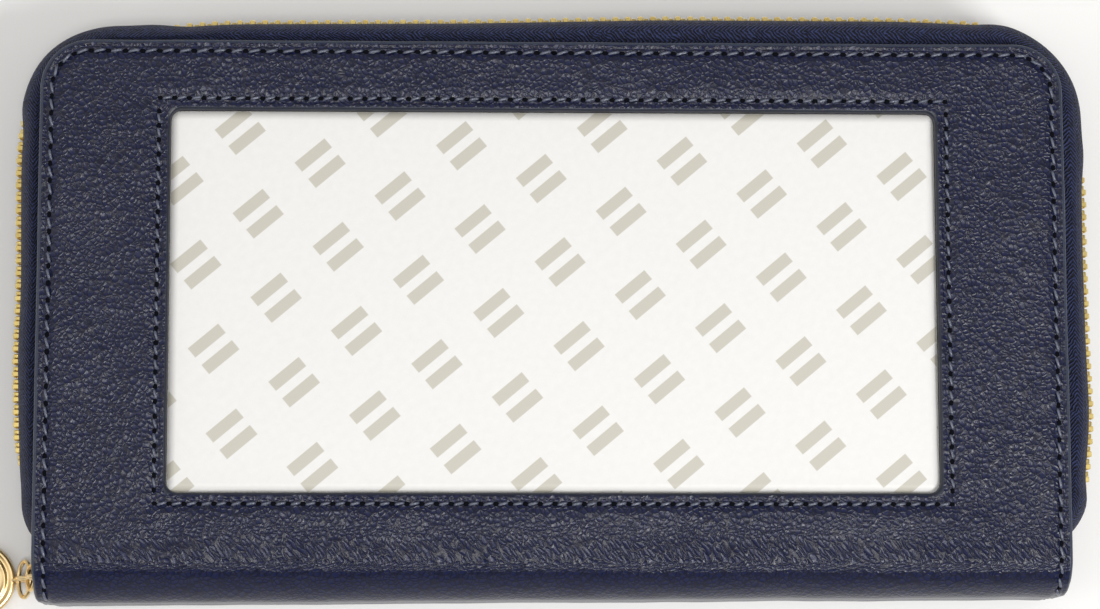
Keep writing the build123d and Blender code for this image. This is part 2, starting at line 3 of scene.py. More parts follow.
import bpy
import numpy as np
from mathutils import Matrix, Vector


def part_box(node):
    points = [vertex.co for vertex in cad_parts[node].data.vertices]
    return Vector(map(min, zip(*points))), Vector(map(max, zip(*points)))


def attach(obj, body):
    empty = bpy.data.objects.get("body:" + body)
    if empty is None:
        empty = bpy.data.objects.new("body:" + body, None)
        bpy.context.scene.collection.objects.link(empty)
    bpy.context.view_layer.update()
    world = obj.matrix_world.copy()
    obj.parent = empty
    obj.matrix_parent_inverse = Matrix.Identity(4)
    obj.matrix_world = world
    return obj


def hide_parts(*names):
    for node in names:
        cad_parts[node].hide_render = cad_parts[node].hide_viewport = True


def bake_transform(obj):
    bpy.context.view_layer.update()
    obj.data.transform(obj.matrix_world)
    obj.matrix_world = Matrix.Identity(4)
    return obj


# The looks of a zip around wallet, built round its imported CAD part.
# Lengths are millimetres in this script and become metres when a mesh is made.
# The wallet lies on its back: +X along the spine, +Y to the opening edge, +Z up.

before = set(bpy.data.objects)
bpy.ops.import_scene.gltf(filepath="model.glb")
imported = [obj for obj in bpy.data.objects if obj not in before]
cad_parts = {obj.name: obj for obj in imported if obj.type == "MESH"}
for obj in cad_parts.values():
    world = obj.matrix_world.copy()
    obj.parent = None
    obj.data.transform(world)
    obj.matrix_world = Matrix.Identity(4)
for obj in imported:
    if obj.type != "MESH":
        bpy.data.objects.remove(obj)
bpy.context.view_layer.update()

MM = 0.001
TAU = math.tau


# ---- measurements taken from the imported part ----
def box_mm(node):
    """Lowest and highest corner of a CAD node, in millimetres."""
    low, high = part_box(node)
    return np.array(low) * 1000, np.array(high) * 1000


cover_low, cover_high = box_mm("front_cover_leather")
spine_low, spine_high = box_mm("spine_leather")
window_low, window_high = box_mm("adhesive_sheet")
liner_low, liner_high = box_mm("release_liner")
teeth_low, teeth_high = box_mm("front_zip_teeth")

RIGHT, TOP, FRONT_Z = cover_high
WALL = FRONT_Z - cover_low[2]
MIDDLE_Z = FRONT_Z / 2
HINGE_Y = spine_high[1]
SPINE_RADIUS = HINGE_Y - spine_low[1]
SPINE_ARC = SPINE_RADIUS * math.pi / 2
S_HINGE = TOP - HINGE_Y
S_END = S_HINGE + SPINE_ARC + FRONT_Z - SPINE_RADIUS - MIDDLE_Z
LEATHER = 1.4
WINDOW_CORNER = 2.0
WINDOW_MARGIN = 4.0
COVER_CORNER = TOP - window_high[1] - WINDOW_MARGIN
EDGE_STITCH_INSET = 2.2
EDGE_STITCH_PITCH = 3.13
WINDOW_STITCH_OFFSET = 2.1
WINDOW_STITCH_PITCH = 2.66
TOOTH_PITCH = 2.33
ZIP_CORNER = 18.0
ZIP_END_RADIUS = 11.0
LEFT_END_TURN = 52.0
RIGHT_END_TURN = 68.0
TOOTH_OUT = 1.2
ZIP_X = teeth_high[0] - TOOTH_OUT
ZIP_TOP = teeth_high[1] - TOOTH_OUT
LEFT_END_Y = box_mm("left_zip_end_tapes")[1][1]
RIGHT_END_Y = box_mm("right_zip_end_tapes")[1][1]
WINDOW_MIDDLE_S = TOP - (window_low[1] + window_high[1]) / 2
WINDOW_HALF_S = (window_high[1] - window_low[1]) / 2


# ---- small maths ----
def smooth_step(value, low, high):
    t = np.clip((value - low) / (high - low), 0.0, 1.0)
    return t * t * (3 - 2 * t)


def bell(value):
    return np.exp(-value * value)


def ripple(x, y, seed, wavelength, waves=7):
    """Sum of seeded waves, a smooth uneven surface of about -1 to 1."""
    rng = np.random.default_rng(seed)
    total = 0.0
    for _ in range(waves):
        angle = rng.uniform(0, TAU)
        length = wavelength * rng.uniform(0.7, 1.7)
        phase = rng.uniform(0, TAU)
        total = total + np.sin((x * math.cos(angle) + y * math.sin(angle)) * TAU / length + phase)
    return total / math.sqrt(waves)


# ---- making meshes ----
def make_piece(name, points, faces, material, slot_name, uv=None, smooth=True):
    """A mesh object from points in millimetres, with optional uv in millimetres."""
    mesh = bpy.data.meshes.new(name)
    mesh.from_pydata((np.asarray(points, float) * MM).tolist(), [], faces)
    if uv is not None:
        layer = mesh.uv_layers.new(name="sheet")
        index = np.zeros(len(mesh.loops), np.int32)
        mesh.loops.foreach_get("vertex_index", index)
        layer.data.foreach_set("uv", (np.asarray(uv, float)[index] * MM).ravel())
    mesh.validate()
    if smooth:
        mesh.polygons.foreach_set("use_smooth", [True] * len(mesh.polygons))
    mesh.materials.append(material)
    mesh.update()
    obj = bpy.data.objects.new(name, mesh)
    bpy.context.scene.collection.objects.link(obj)
    return obj


def show(name, part, material, slot_name, body, *nodes, uv=None, smooth=True):
    """A piece that rides on a body, or stays fixed where it is made when given two, in place of
    some CAD nodes.
    """
    obj = make_piece(name, *part, material, slot_name, uv, smooth)
    if nodes:
        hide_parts(*nodes)
    if isinstance(body, str):
        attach(obj, body)
    else:
        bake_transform(obj)
    return obj


def mirror_z(points, faces):
    """The same shape on the other cover: heights mirrored and faces turned over."""
    flipped = np.array(points, float)
    flipped[:, 2] = FRONT_Z - flipped[:, 2]
    return flipped, [tuple(reversed(f)) for f in faces]


def mirror_x(points, faces):
    flipped = np.array(points, float)
    flipped[:, 0] *= -1
    return flipped, [tuple(reversed(f)) for f in faces]


def turned(part, side, made_for="front"):
    """A part as it was made, or mirrored when it is for the other cover."""
    return part if side == made_for else mirror_z(*part)


def join_parts(parts):
    points, faces, base = [], [], 0
    for part_points, part_faces in parts:
        points.append(part_points)
        faces += [tuple(v + base for v in face) for face in part_faces]
        base += len(part_points)
    return np.concatenate(points), faces


def right_of(line):
    """Unit direction to the right of a flat line, at each of its points."""
    slope = np.gradient(line, axis=0)
    slope /= np.hypot(slope[:, 0], slope[:, 1])[:, None]
    return np.stack([slope[:, 1], -slope[:, 0]], -1)


def thick_sheet(outer, inner, hole=None):
    """Closed sheet between two grids of points, leaving out the cells marked as hole."""
    rows, cols = outer.shape[:2]
    base = rows * cols
    index = np.arange(base).reshape(rows, cols)
    a, b = index[:-1, :-1], index[1:, :-1]
    c, d = index[1:, 1:], index[:-1, 1:]
    solid = np.ones(a.shape, bool) if hole is None else ~hole
    faces = np.stack([a, b, c, d], -1)[solid].tolist()
    faces += (np.stack([d, c, b, a], -1)[solid] + base).tolist()
    padded = np.pad(solid, 1)
    borders = (
        (padded[:-2, 1:-1], d, a),
        (padded[2:, 1:-1], b, c),
        (padded[1:-1, :-2], a, b),
        (padded[1:-1, 2:], c, d),
    )
    for neighbour, first, second in borders:
        edge = solid & ~neighbour
        p, q = first[edge], second[edge]
        faces += np.stack([q, p, p + base, q + base], -1).tolist()
    points = np.concatenate([outer.reshape(-1, 3), inner.reshape(-1, 3)])
    used = np.unique(np.array(faces).ravel())
    renumber = np.zeros(len(points), int)
    renumber[used] = np.arange(len(used))
    return points[used], renumber[np.array(faces)].tolist(), used


# ---- node materials ----
class Shader:
    """Small helper that writes the node tree of a material or a world."""

    def __init__(self, owner, surface="Principled BSDF"):
        owner.use_nodes = True
        self.owner = owner
        self.tree = owner.node_tree
        self.surface = self.tree.nodes[surface]

    def put(self, socket, value):
        if isinstance(value, bpy.types.NodeSocket):
            self.tree.links.new(value, socket)
        else:
            socket.default_value = value

    def node(self, kind, **inputs):
        made = self.tree.nodes.new("ShaderNode" + kind)
        for key, value in inputs.items():
            self.put(made.inputs[key.replace("_", " ")], value)
        return made

    def math(self, operation, first, second=0.0):
        made = self.node("Math")
        made.operation = operation
        self.put(made.inputs[0], first)
        self.put(made.inputs[1], second)
        return made.outputs[0]

    def add(self, first, second):
        return self.math("ADD", first, second)

    def minus(self, first, second):
        return self.math("SUBTRACT", first, second)

    def times(self, first, second):
        return self.math("MULTIPLY", first, second)

    def coordinates(self, source, turn=0.0):
        """Texture coordinates in metres, turned about Z."""
        place = self.node("TexCoord").outputs[source]
        return self.node("Mapping", Vector=place, Rotation=(0, 0, turn)).outputs[0]

    def split(self, vector):
        return self.node("SeparateXYZ", Vector=vector).outputs[:2]

    def noise(self, vector, scale, detail=2.0, grit=0.5):
        made = self.node("TexNoise", Vector=vector, Scale=scale, Detail=detail, Roughness=grit)
        return made.outputs["Fac"]

    def voronoi(self, vector, scale, feature="F1", randomness=1.0):
        made = self.node("TexVoronoi", Vector=vector, Scale=scale, Randomness=randomness)
        made.feature = feature
        return made.outputs["Distance"]

    def mix(self, factor, first, second):
        made = self.node("Mix")
        made.data_type = "RGBA"
        for place, value in ((0, factor), (6, first), (7, second)):
            self.put(made.inputs[place], value)
        return made.outputs[2]

    def spread(self, value, low, high, out_low=0.0, out_high=1.0):
        """Eases a value's range from low to high into out_low to out_high."""
        ends = {"From_Min": low, "From_Max": high, "To_Min": out_low, "To_Max": out_high}
        made = self.node("MapRange", Value=value, **ends)
        made.interpolation_type = "SMOOTHSTEP"
        return made.outputs["Result"]

    def bump(self, height, distance, strength=1.0):
        made = self.node("Bump", Height=height, Distance=distance, Strength=strength)
        return made.outputs["Normal"]

    def finish(self, color, roughness, normal=None, **extra):
        inputs = {"Base_Color": color, "Roughness": roughness, **extra}
        if normal is not None:
            inputs["Normal"] = normal
        for key, value in inputs.items():
            self.put(self.surface.inputs[key.replace("_", " ")], value)
        return self.owner


def new_shader(name):
    return Shader(bpy.data.materials.new(name))


def rgb(red, green, blue):
    """Colour from screen values of 0 to 255."""
    linear = []
    for value in (red, green, blue):
        share = value / 255
        linear.append(share / 12.92 if share <= 0.04045 else ((share + 0.055) / 1.055) ** 2.4)
    return (*linear, 1.0)


# Places down the leather sheet, in metres, where its grain starts and stops to stretch over
# the spine and where it turns calm, and how many grains fill a metre.
BEND_START = (0.0885, 0.0925)
BEND_END = (0.0975, 0.0950)
CALM = (0.0948, 0.0976)
GRAINS = 1120.0


def leather_material():
    """Pebbled navy leather, with painted shade in its grain's gaps; the grain follows the sheet,
    stretched where the spine bends.
    """
    s = new_shader("navy_leather")
    place = s.coordinates("UV")
    along, down = s.split(place)
    bend = s.times(s.spread(down, *BEND_START), s.spread(down, *BEND_END))
    warp_x = s.noise(place, 420.0)
    warp_y = s.noise(s.coordinates("UV", turn=1.9), 420.0)
    x = s.add(along, s.times(s.minus(warp_x, 0.5), 0.0011))
    y = s.add(down, s.times(s.minus(warp_y, 0.5), 0.0011))
    squeeze = s.times(bend, 0.45)
    y = s.minus(y, s.times(s.minus(down, BEND_START[1]), squeeze))
    lean = s.times(bend, -0.6)
    x = s.add(x, s.times(s.minus(down, BEND_START[1]), lean))
    warped = s.node("CombineXYZ", X=x, Y=y).outputs[0]
    cell = s.voronoi(warped, GRAINS, "SMOOTH_F1", 0.9)
    dome = s.minus(1.0, s.times(cell, cell))
    gap = s.spread(s.voronoi(warped, GRAINS, "DISTANCE_TO_EDGE", 0.9), 0.0, 0.22)
    fine = s.noise(place, 3200.0, 3.0, 0.6)
    broad = s.noise(place, 330.0)
    strength = s.spread(s.noise(place, 45.0), 0.3, 0.7, 0.65, 1.0)
    grain = s.add(s.times(dome, 0.95), s.times(gap, 0.30))
    grain = s.add(s.times(grain, strength), s.times(fine, 0.12))
    grain = s.add(grain, s.times(broad, 0.7))
    calm = s.spread(down, *CALM, 1.0, 0.40)
    crease = s.times(grain, s.add(1.0, s.times(bend, 0.35)))
    normal = s.bump(crease, 0.00026, calm)
    # Colour is darker where the gap mask is low: painted shade in the crevices between pebbles.
    color = s.mix(gap, rgb(8, 12, 34), rgb(14, 22, 58))
    rough = s.add(0.25, s.times(fine, 0.12))
    return s.finish(color, rough, normal, Specular_IOR_Level=0.42)


def speckled(
    name, dark, light, scale, rough, depth=0.0, detail=2.0, grit=0.5, source="Object", **extra
):
    """Material whose tone and fine relief both come from one noise."""
    s = new_shader(name)
    speck = s.noise(s.coordinates(source), scale, detail, grit)
    color = s.mix(speck, rgb(*dark), rgb(*light))
    return s.finish(color, rough, s.bump(speck, depth) if depth else None, **extra)


# Width of a thread and of a herringbone band of the woven tapes.
WEAVE_THREAD = 0.40
WEAVE_BAND = 1.7


def weave_material(name, dark, light):
    """Herringbone tape: slanted ribs whose lean turns over in bands across the tape."""
    s = new_shader(name)
    place = s.coordinates("UV")
    along, across = s.split(place)
    wander = s.times(s.noise(place, 500.0), 0.0009)
    along, across = s.add(along, wander), s.add(across, wander)
    fold = s.math("PINGPONG", across, WEAVE_BAND * MM)
    lean = s.add(along, s.times(fold, 1.3))
    ribs = s.math("SINE", s.times(lean, TAU / (WEAVE_THREAD * 2 * MM)))
    fuzz = s.noise(place, 2000.0, 3.0, 0.75)
    clump = s.noise(place, 700.0)
    weave = s.add(s.times(ribs, 0.34), s.times(fuzz, 1.5))
    weave = s.add(weave, s.times(clump, 0.7))
    color = s.mix(s.spread(weave, 0.80, 1.65), rgb(*dark), rgb(*light))
    return s.finish(color, 0.62, s.bump(weave, 0.0003), Specular_IOR_Level=0.35)


def cloth_material(name, dark, light):
    """Fine twill lining."""
    s = new_shader(name)
    place = s.coordinates("Object")
    ribs = s.math("SINE", s.times(s.add(*s.split(place)), TAU / 0.0007))
    fuzz = s.noise(place, 1500.0, 3.0, 0.6)
    height = s.add(s.times(ribs, 0.35), fuzz)
    color = s.mix(s.spread(height, 0.2, 0.9), rgb(*dark), rgb(*light))
    return s.finish(color, 0.8, s.bump(height, 0.00009), Sheen_Weight=0.3)


def pocket_leather_material():
    """Thin smooth leather of the card pockets, with a faint grain."""
    s = new_shader("pocket_leather")
    place = s.coordinates("Object")
    grain = s.voronoi(place, 1300.0, "SMOOTH_F1")
    cloud = s.noise(place, 90.0, 3.0)
    height = s.add(s.times(grain, -0.5), s.noise(place, 2400.0))
    color = s.mix(cloud, rgb(24, 29, 48), rgb(40, 46, 68))
    return s.finish(color, 0.42, s.bump(height, 0.0001))


def metal_material(name, base, worn, roughness):
    s = new_shader(name)
    place = s.coordinates("Object")
    cloud = s.noise(place, 420.0, 3.0)
    scuff = s.noise(place, 3000.0)
    color = s.mix(cloud, rgb(*base), rgb(*worn))
    rough = s.add(roughness, s.times(cloud, 0.14))
    return s.finish(color, rough, s.bump(scuff, 0.000003), Metallic=1.0)


# Spacing of the printed dashes, in metres.
DASH_ROW = 0.0140
DASH_COLUMN = 0.0146


def liner_material():
    """White release paper with a plain printed pattern of short paired dashes."""
    s = new_shader("liner_paper")
    place = s.coordinates("UV", turn=math.radians(-40))
    across, down = s.split(place)
    row = s.math("DIVIDE", down, DASH_ROW)
    column = s.math("DIVIDE", across, DASH_COLUMN)
    shift = s.times(s.math("FLOOR", row), 0.5)
    u = s.minus(s.math("FRACT", s.add(column, shift)), 0.5)
    v = s.minus(s.math("FRACT", row), 0.5)
    inside_u = s.spread(s.math("ABSOLUTE", u), 0.25, 0.235)
    pair = s.minus(s.math("ABSOLUTE", v), 0.14)
    inside_v = s.spread(s.math("ABSOLUTE", pair), 0.085, 0.070)
    dash = s.times(inside_u, inside_v)
    pulp = s.noise(place, 700.0, 3.0)
    paper = s.mix(pulp, rgb(222, 221, 218), rgb(230, 229, 226))
    color = s.mix(s.times(dash, 0.95), paper, rgb(190, 186, 173))
    return s.finish(color, 0.45, s.bump(pulp, 0.00002))


leather = leather_material()
on_sheet = {"detail": 3.0, "source": "UV"}
bead = speckled("edge_bead", (36, 43, 60), (48, 57, 76), 500.0, 0.42, 0.00005, **on_sheet)
window_rim = speckled("window_rim", (18, 22, 36), (30, 35, 52), 600.0, 0.38, 0.00006, **on_sheet)
waxed = {"grit": 0.6, "Specular_IOR_Level": 0.9}
thread = speckled("waxed_thread", (40, 46, 64), (104, 110, 128), 3500.0, 0.3, 0.0001, **waxed)
# Near-black colour painted as the shade inside the needle holes.
needle_hole_shade = speckled("needle_hole_shade", (3, 4, 8), (10, 12, 20), 2500.0, 0.9, Specular_IOR_Level=0.1)
tape_cloth = weave_material("zip_tape", (3, 4, 12), (52, 62, 106))
coin_tape_cloth = weave_material("coin_tape", (14, 18, 38), (60, 70, 104))
lining_cloth = cloth_material("lining_cloth", (30, 36, 58), (74, 84, 118))
coin_cloth = cloth_material("coin_cloth", (26, 31, 50), (64, 73, 104))
pocket_leather = pocket_leather_material()
brass = metal_material("zip_brass", (206, 178, 104), (232, 212, 140), 0.22)
gold = metal_material("chain_gold", (224, 194, 140), (240, 216, 166), 0.24)
grey_board = speckled("grey_board", (150, 132, 104), (190, 174, 146), 900.0, 0.9, 0.00006, 4.0, 0.7)
adhesive = speckled("adhesive_film", (226, 224, 214), (240, 238, 230), 160.0, 0.25, 0.00003, 3.0)
liner_paper = liner_material()


# ---- the outer skins ----
# Distance in from the cover's edge, and how far the surface lies below the face there:
# up the painted wall, over the bead, down into the crease and up to the stitching.
EDGE_OUTER = (
    *((0.15, 2.40), (0.00, 1.70), (0.00, 1.05), (0.10, 0.60), (0.32, 0.30), (0.65, 0.17)),
    *((0.98, 0.20), (1.22, 0.28), (1.34, 0.32), (1.50, 0.24), (1.75, 0.15), (2.05, 0.12)),
    *((2.35, 0.12), (2.70, 0.07), (3.10, 0.02), (3.50, 0.00)),
)
WINDOW_OUTER = (
    *((0.00, 2.35), (0.00, 1.40), (0.04, 0.80), (0.20, 0.36), (0.52, 0.20), (0.90, 0.17)),
    *((1.18, 0.22), (1.32, 0.28), (1.50, 0.20), (1.80, 0.15), (2.20, 0.13), (2.70, 0.08)),
    *((3.30, 0.02), (WINDOW_MARGIN, 0.00)),
)
WINDOW_CENTRE_LINES = 3
BEAD_WIDTH = 0.80
WINDOW_RIM_WIDTH = 0.60
PLAIN_STEP = 0.6
END_ROUNDING = 1.3


def inner_profile(outer):
    """The hidden face of the sheet: full wall depth near the edge, leather depth beyond."""
    made = []
    for i, (away, _) in enumerate(outer):
        depth = WALL if away < 1.2 else LEATHER
        made.append((max(away, 0.25 + 0.14 * i), depth))
    return made


def edge_block(profile, plain_step):
    """Lines of one edge block from the cover's edge in to the corner's centre."""
    last = profile[-1][0]
    count = max(2, round((COVER_CORNER - last) / plain_step))
    plain = [(d, profile[-1][1]) for d in np.linspace(last, COVER_CORNER, count + 1)[1:]]
    return np.array(list(profile) + plain)


def spaced(low, high, step):
    """Lines strictly between two positions, evenly spaced."""
    count = max(1, round(abs(high - low) / step))
    return np.linspace(low, high, count + 1)[1:-1]


class Lines:
    """Grid lines of one direction, from parts of (flat position, edge ring, window ring)."""

    def __init__(self, *parts):
        columns = zip(*(np.broadcast_arrays(*part) for part in parts))
        self.place, self.edge, self.window = (np.concatenate(column) for column in columns)


def window_flat(rings):
    """Even spacing of the window's lines where they run on past the window."""
    return np.linspace(0, WINDOW_CORNER + WINDOW_MARGIN, rings + 1)


def round_window(first, last, rings, step):
    """Lines that ring the window before, between and after its two corner centres."""
    flat, order = window_flat(rings), np.arange(rings, -1, -1)
    before, after = (first - flat[order], 0, order), (last + flat, 0, order[::-1])
    return [before, (spaced(first, last, step), 0, 0), after]


def x_lines(block, rings, step, with_window):
    """Lines across the wallet, left to right and symmetrical."""
    left, ring = -RIGHT + block[:, 0], np.arange(len(block))[::-1]
    inner = RIGHT - COVER_CORNER
    middle = [(spaced(-inner, inner, step), 0, -1)]
    if with_window:
        centre = window_high[0] - WINDOW_CORNER
        window = round_window(-centre, centre, rings, step)
        far = window[-1][0][-1]
        plain = (spaced(-inner, -far, step), 0, -1), (spaced(far, inner, step), 0, -1)
        middle = [plain[0], *window, plain[1]]
    return Lines((left, ring, -1), *middle, (-left[::-1], ring[::-1], -1))


def y_lines(block, rings, step, with_window):
    """Lines from the opening edge down to mid height of the spine, as distances."""
    parts = [([COVER_CORNER], 0, -1)]
    if with_window:
        top = TOP - window_high[1] + WINDOW_CORNER
        parts = round_window(top, TOP - window_low[1] - WINDOW_CORNER, rings, step)
    parts.append((spaced(parts[-1][0][-1], S_HINGE, step), 0, -1))
    spine = np.linspace(S_HINGE, S_END, round((S_END - S_HINGE) / (step * 0.85)))
    edge = (block[:-1, 0], np.arange(len(block) - 1, 0, -1), -1)
    return Lines(edge, *parts, (spine, 0, -1))


def ring_angle(a, b):
    """Angle round a corner for a point a lines out one way and b lines out the other."""
    big = np.maximum(np.maximum(a, b), 1)
    return np.where(a >= b, math.pi / 4 * b / big, math.pi / 2 - math.pi / 4 * a / big)


def bend_edges(x, s, drop, cols, rows, block):
    """Rounds the grid into the cover's two top corners and sets the edge's heights."""
    a, b = cols.edge[:, None], rows.edge[None, :]
    ring = np.maximum(a, b)
    away = block[::-1, 0][ring]
    drop[:] = np.where(ring > 0, block[::-1, 1][ring], drop)
    side = np.sign(cols.place)[:, None]
    angle = ring_angle(a, b)
    radius = COVER_CORNER - away
    corner = (a > 0) & (b > 0)
    x[:] = np.where(corner, side * (RIGHT - COVER_CORNER + radius * np.cos(angle)), x)
    s[:] = np.where(corner, COVER_CORNER - radius * np.sin(angle), s)
    straight = (a > 0) & (b == 0)
    x[:] = np.where(straight, side * (RIGHT - away), x)
    s[:] = np.where((b > 0) & (a == 0), away, s)


def bend_window(x, s, drop, cols, rows, profile):
    """Rounds the grid round the window and sets the heights of its border."""
    a, b = cols.window[:, None], rows.window[None, :]
    zone = (a >= 0) & (b >= 0)
    ring = np.where(zone, np.maximum(a, b), 0)
    table = np.array(profile)
    step = np.clip(ring - WINDOW_CENTRE_LINES, 0, len(table) - 1)
    away, fall = table[step, 0], table[step, 1]
    flat = window_flat(WINDOW_CENTRE_LINES + len(table) - 1)
    share = smooth_step(away, 0.6, WINDOW_MARGIN)
    angle = ring_angle(np.maximum(a, 0), np.maximum(b, 0))
    radius = WINDOW_CORNER + away
    out_x = (1 - share) * radius * np.cos(angle) + share * flat[np.maximum(a, 0)]
    out_s = (1 - share) * radius * np.sin(angle) + share * flat[np.maximum(b, 0)]
    centre_x, half_s = window_high[0] - WINDOW_CORNER, WINDOW_HALF_S - WINDOW_CORNER
    side_x = np.sign(cols.place)[:, None]
    side_s = np.sign(rows.place - WINDOW_MIDDLE_S)[None, :]
    live = zone & (ring >= WINDOW_CENTRE_LINES)
    x[:] = np.where(live & (a > 0), side_x * (centre_x + out_x), x)
    s[:] = np.where(live & (b > 0), WINDOW_MIDDLE_S + side_s * (half_s + out_s), s)
    drop[:] = np.where(live, fall, drop)
    return np.where(zone, ring, 99)


def soft_relief(x, s):
    """Broad shape of the leather: gentle waves, and a spine that is fuller at its left end."""
    past = s - S_HINGE
    spine = smooth_step(past, -1.0, 5.0)
    fuller = (0.30 - 0.55 * x / RIGHT) * smooth_step(past, 5.0, 12.0)
    from_end = np.clip(RIGHT - np.abs(x), 0, END_ROUNDING)
    tuck = END_ROUNDING - np.sqrt(END_ROUNDING**2 - (END_ROUNDING - from_end) ** 2)
    waves = 0.11 * ripple(x, s, 11, 26.0) + 0.05 * ripple(x, s, 12, 9.0)
    return fuller - tuck * smooth_step(past, 2.0, 10.0) + waves * (1 - 0.4 * spine)


def skin_point(x, s, height):
    """Point of the upper skin's surface at a height above it."""
    turn = np.clip((s - S_HINGE) / SPINE_RADIUS, 0, math.pi / 2)
    after = np.maximum(s - S_HINGE - SPINE_ARC, 0)
    y = TOP - np.minimum(s, S_HINGE) - SPINE_RADIUS * np.sin(turn)
    z = FRONT_Z - SPINE_RADIUS * (1 - np.cos(turn)) - after
    lift = height + soft_relief(x, s)
    return np.stack([x + 0 * y, y - lift * np.sin(turn), z + lift * np.cos(turn)], -1)


def row_distance(x, s):
    """Distance in from the cover's edge, and distance along its sewn row from the top middle."""
    in_x = RIGHT - np.abs(x)
    corner = (in_x < COVER_CORNER) & (s < COVER_CORNER)
    over_x = COVER_CORNER - in_x
    over_s = COVER_CORNER - s
    away = np.where(corner, COVER_CORNER - np.hypot(over_x, over_s), np.minimum(in_x, s))
    radius = COVER_CORNER - EDGE_STITCH_INSET
    straight = RIGHT - COVER_CORNER
    angle = np.arctan2(np.maximum(over_x, 0), np.maximum(over_s, 1e-6))
    side = straight + radius * math.pi / 2 + s - COVER_CORNER
    along = np.where(corner, straight + radius * angle, np.where(in_x < s, side, np.abs(x)))
    return away, along


def pucker(away, along, offset, pitch):
    """Leather pulled down where the needle went in, and swelling a little beside the row."""
    at_hole = 0.5 + 0.5 * np.cos(along * TAU / pitch)
    return -0.16 * at_hole * bell((away - offset) / 0.45) - 0.07 * bell((away - offset) / 0.8)


def sewn_relief(x, s, with_window):
    away, along = row_distance(x, s)
    relief = pucker(away, along, EDGE_STITCH_INSET, EDGE_STITCH_PITCH)
    relief = relief + 0.09 * smooth_step(away, 2.6, 3.6) * (1 - smooth_step(away, 4.0, 8.0))
    if with_window:
        out_x, out_s = window_reach(x, s)
        reach = np.maximum(out_x, out_s)
        run = np.where(out_x > out_s, s - WINDOW_MIDDLE_S, x)
        relief = relief + pucker(reach, run, WINDOW_STITCH_OFFSET, WINDOW_STITCH_PITCH)
        relief = relief + 0.10 * smooth_step(reach, 2.5, 3.6) * (1 - smooth_step(reach, 4.5, 9.0))
    return relief


def skin_grid(edge_profile, window_profile, step, with_window):
    """Grid of points over the skin, and the ring number of each point at the window."""
    block = edge_block(edge_profile, step)
    rings = WINDOW_CENTRE_LINES + len(WINDOW_OUTER) - 1
    cols = x_lines(block, rings, step, with_window)
    rows = y_lines(block, rings, step, with_window)
    shape = (len(cols.place), len(rows.place))
    x = np.broadcast_to(cols.place[:, None], shape).copy()
    s = np.broadcast_to(rows.place[None, :], shape).copy()
    drop = np.full(shape, edge_profile[-1][1], float)
    bend_edges(x, s, drop, cols, rows, block)
    ring = np.full(shape, 99)
    if with_window:
        ring = bend_window(x, s, drop, cols, rows, window_profile)
    return x, s, drop, ring


def build_skin(with_window, step):
    """Closed leather sheet of the front half, from the opening edge to mid height of the spine."""
    x, s, drop, ring = skin_grid(EDGE_OUTER, WINDOW_OUTER, step, with_window)
    outer = skin_point(x, s, sewn_relief(x, s, with_window) - drop)
    profiles = inner_profile(EDGE_OUTER), inner_profile(WINDOW_OUTER)
    xi, si, drop_in, _ = skin_grid(*profiles, step, with_window)
    inner = skin_point(xi, si, -drop_in)
    corners = np.maximum.reduce([ring[:-1, :-1], ring[1:, :-1], ring[1:, 1:], ring[:-1, 1:]])
    points, faces, used = thick_sheet(outer, inner, corners <= WINDOW_CENTRE_LINES)
    sheet = np.stack([x, s], -1).reshape(-1, 2)
    return (points, faces), np.concatenate([sheet, sheet])[used]


def window_reach(x, s):
    """Distances out from the window's upright edges and from its long edges."""
    return np.abs(x) - window_high[0], np.abs(s - WINDOW_MIDDLE_S) - WINDOW_HALF_S


def paint_rims(obj, uv, with_window):
    """Gives the smooth bead at the cover's edge and at the window their own materials."""
    obj.data.materials.append(bead)
    obj.data.materials.append(window_rim)
    in_bead = row_distance(uv[:, 0], uv[:, 1])[0] < BEAD_WIDTH
    in_rim = np.maximum(*window_reach(uv[:, 0], uv[:, 1])) < WINDOW_RIM_WIDTH
    flags = []
    for face in obj.data.polygons:
        corners = list(face.vertices)
        at_window = with_window and in_rim[corners].all()
        flags.append(1 if in_bead[corners].all() else 2 * at_window)
    obj.data.polygons.foreach_set("material_index", flags)
    obj.data.set_sharp_from_angle(angle=math.radians(70))


def build_skins():
    upper, lower = ("front", "upper_skin", PLAIN_STEP), ("back", "lower_skin", PLAIN_STEP * 1.6)
    for side, name, step in (upper, lower):
        with_window = side == "front"
        part, uv = build_skin(with_window, step)
        nodes = (f"{side}_cover_leather", "spine_leather")
        skin = show(name, turned(part, side), leather, "navy_leather", FOLD[side], *nodes, uv=uv)
        paint_rims(skin, uv, with_window)


def at(x, y, z):
    """A point in metres from millimetres."""
    return (x * MM, y * MM, z * MM)


# Where the skin and its thread bend between the spine and each cover.
FOLD = {
    "front": ("spine", "front_cover", at(0, -48.5, 20), at(0, -38.5, 26)),
    "back": ("back_cover", "spine", at(0, -38.5, -1), at(0, -48.5, 5)),
}


# ---- thread ----
THREAD_RADIUS = 0.25
SLANT = math.radians(14)


def capsule_field(centres, angles, length, radius, lift, sides=8, rings=9):
    """Rounded bars lying on the skin: arrays of (x, s, height) and the faces joining them."""
    u = np.linspace(-1, 1, rings)
    girth = radius * np.sqrt(np.clip(1 - u**8, 0, 1)) + 0.01
    rise = lift * (1 - np.abs(u) ** 3.0) - 0.14 * np.abs(u) ** 4
    phi = np.arange(sides) * TAU / sides
    run = (u * length / 2)[None, :, None]
    side = (girth[:, None] * np.cos(phi))[None]
    up = (rise[:, None] + 0.8 * girth[:, None] * np.sin(phi))[None]
    cos_a, sin_a = np.cos(angles)[:, None, None], np.sin(angles)[:, None, None]
    x = centres[:, 0][:, None, None] + run * cos_a - side * sin_a
    s = centres[:, 1][:, None, None] + run * sin_a + side * cos_a
    height = np.broadcast_to(up, x.shape)
    return np.stack([x, s, height], -1), tube_faces(len(centres), rings, sides)


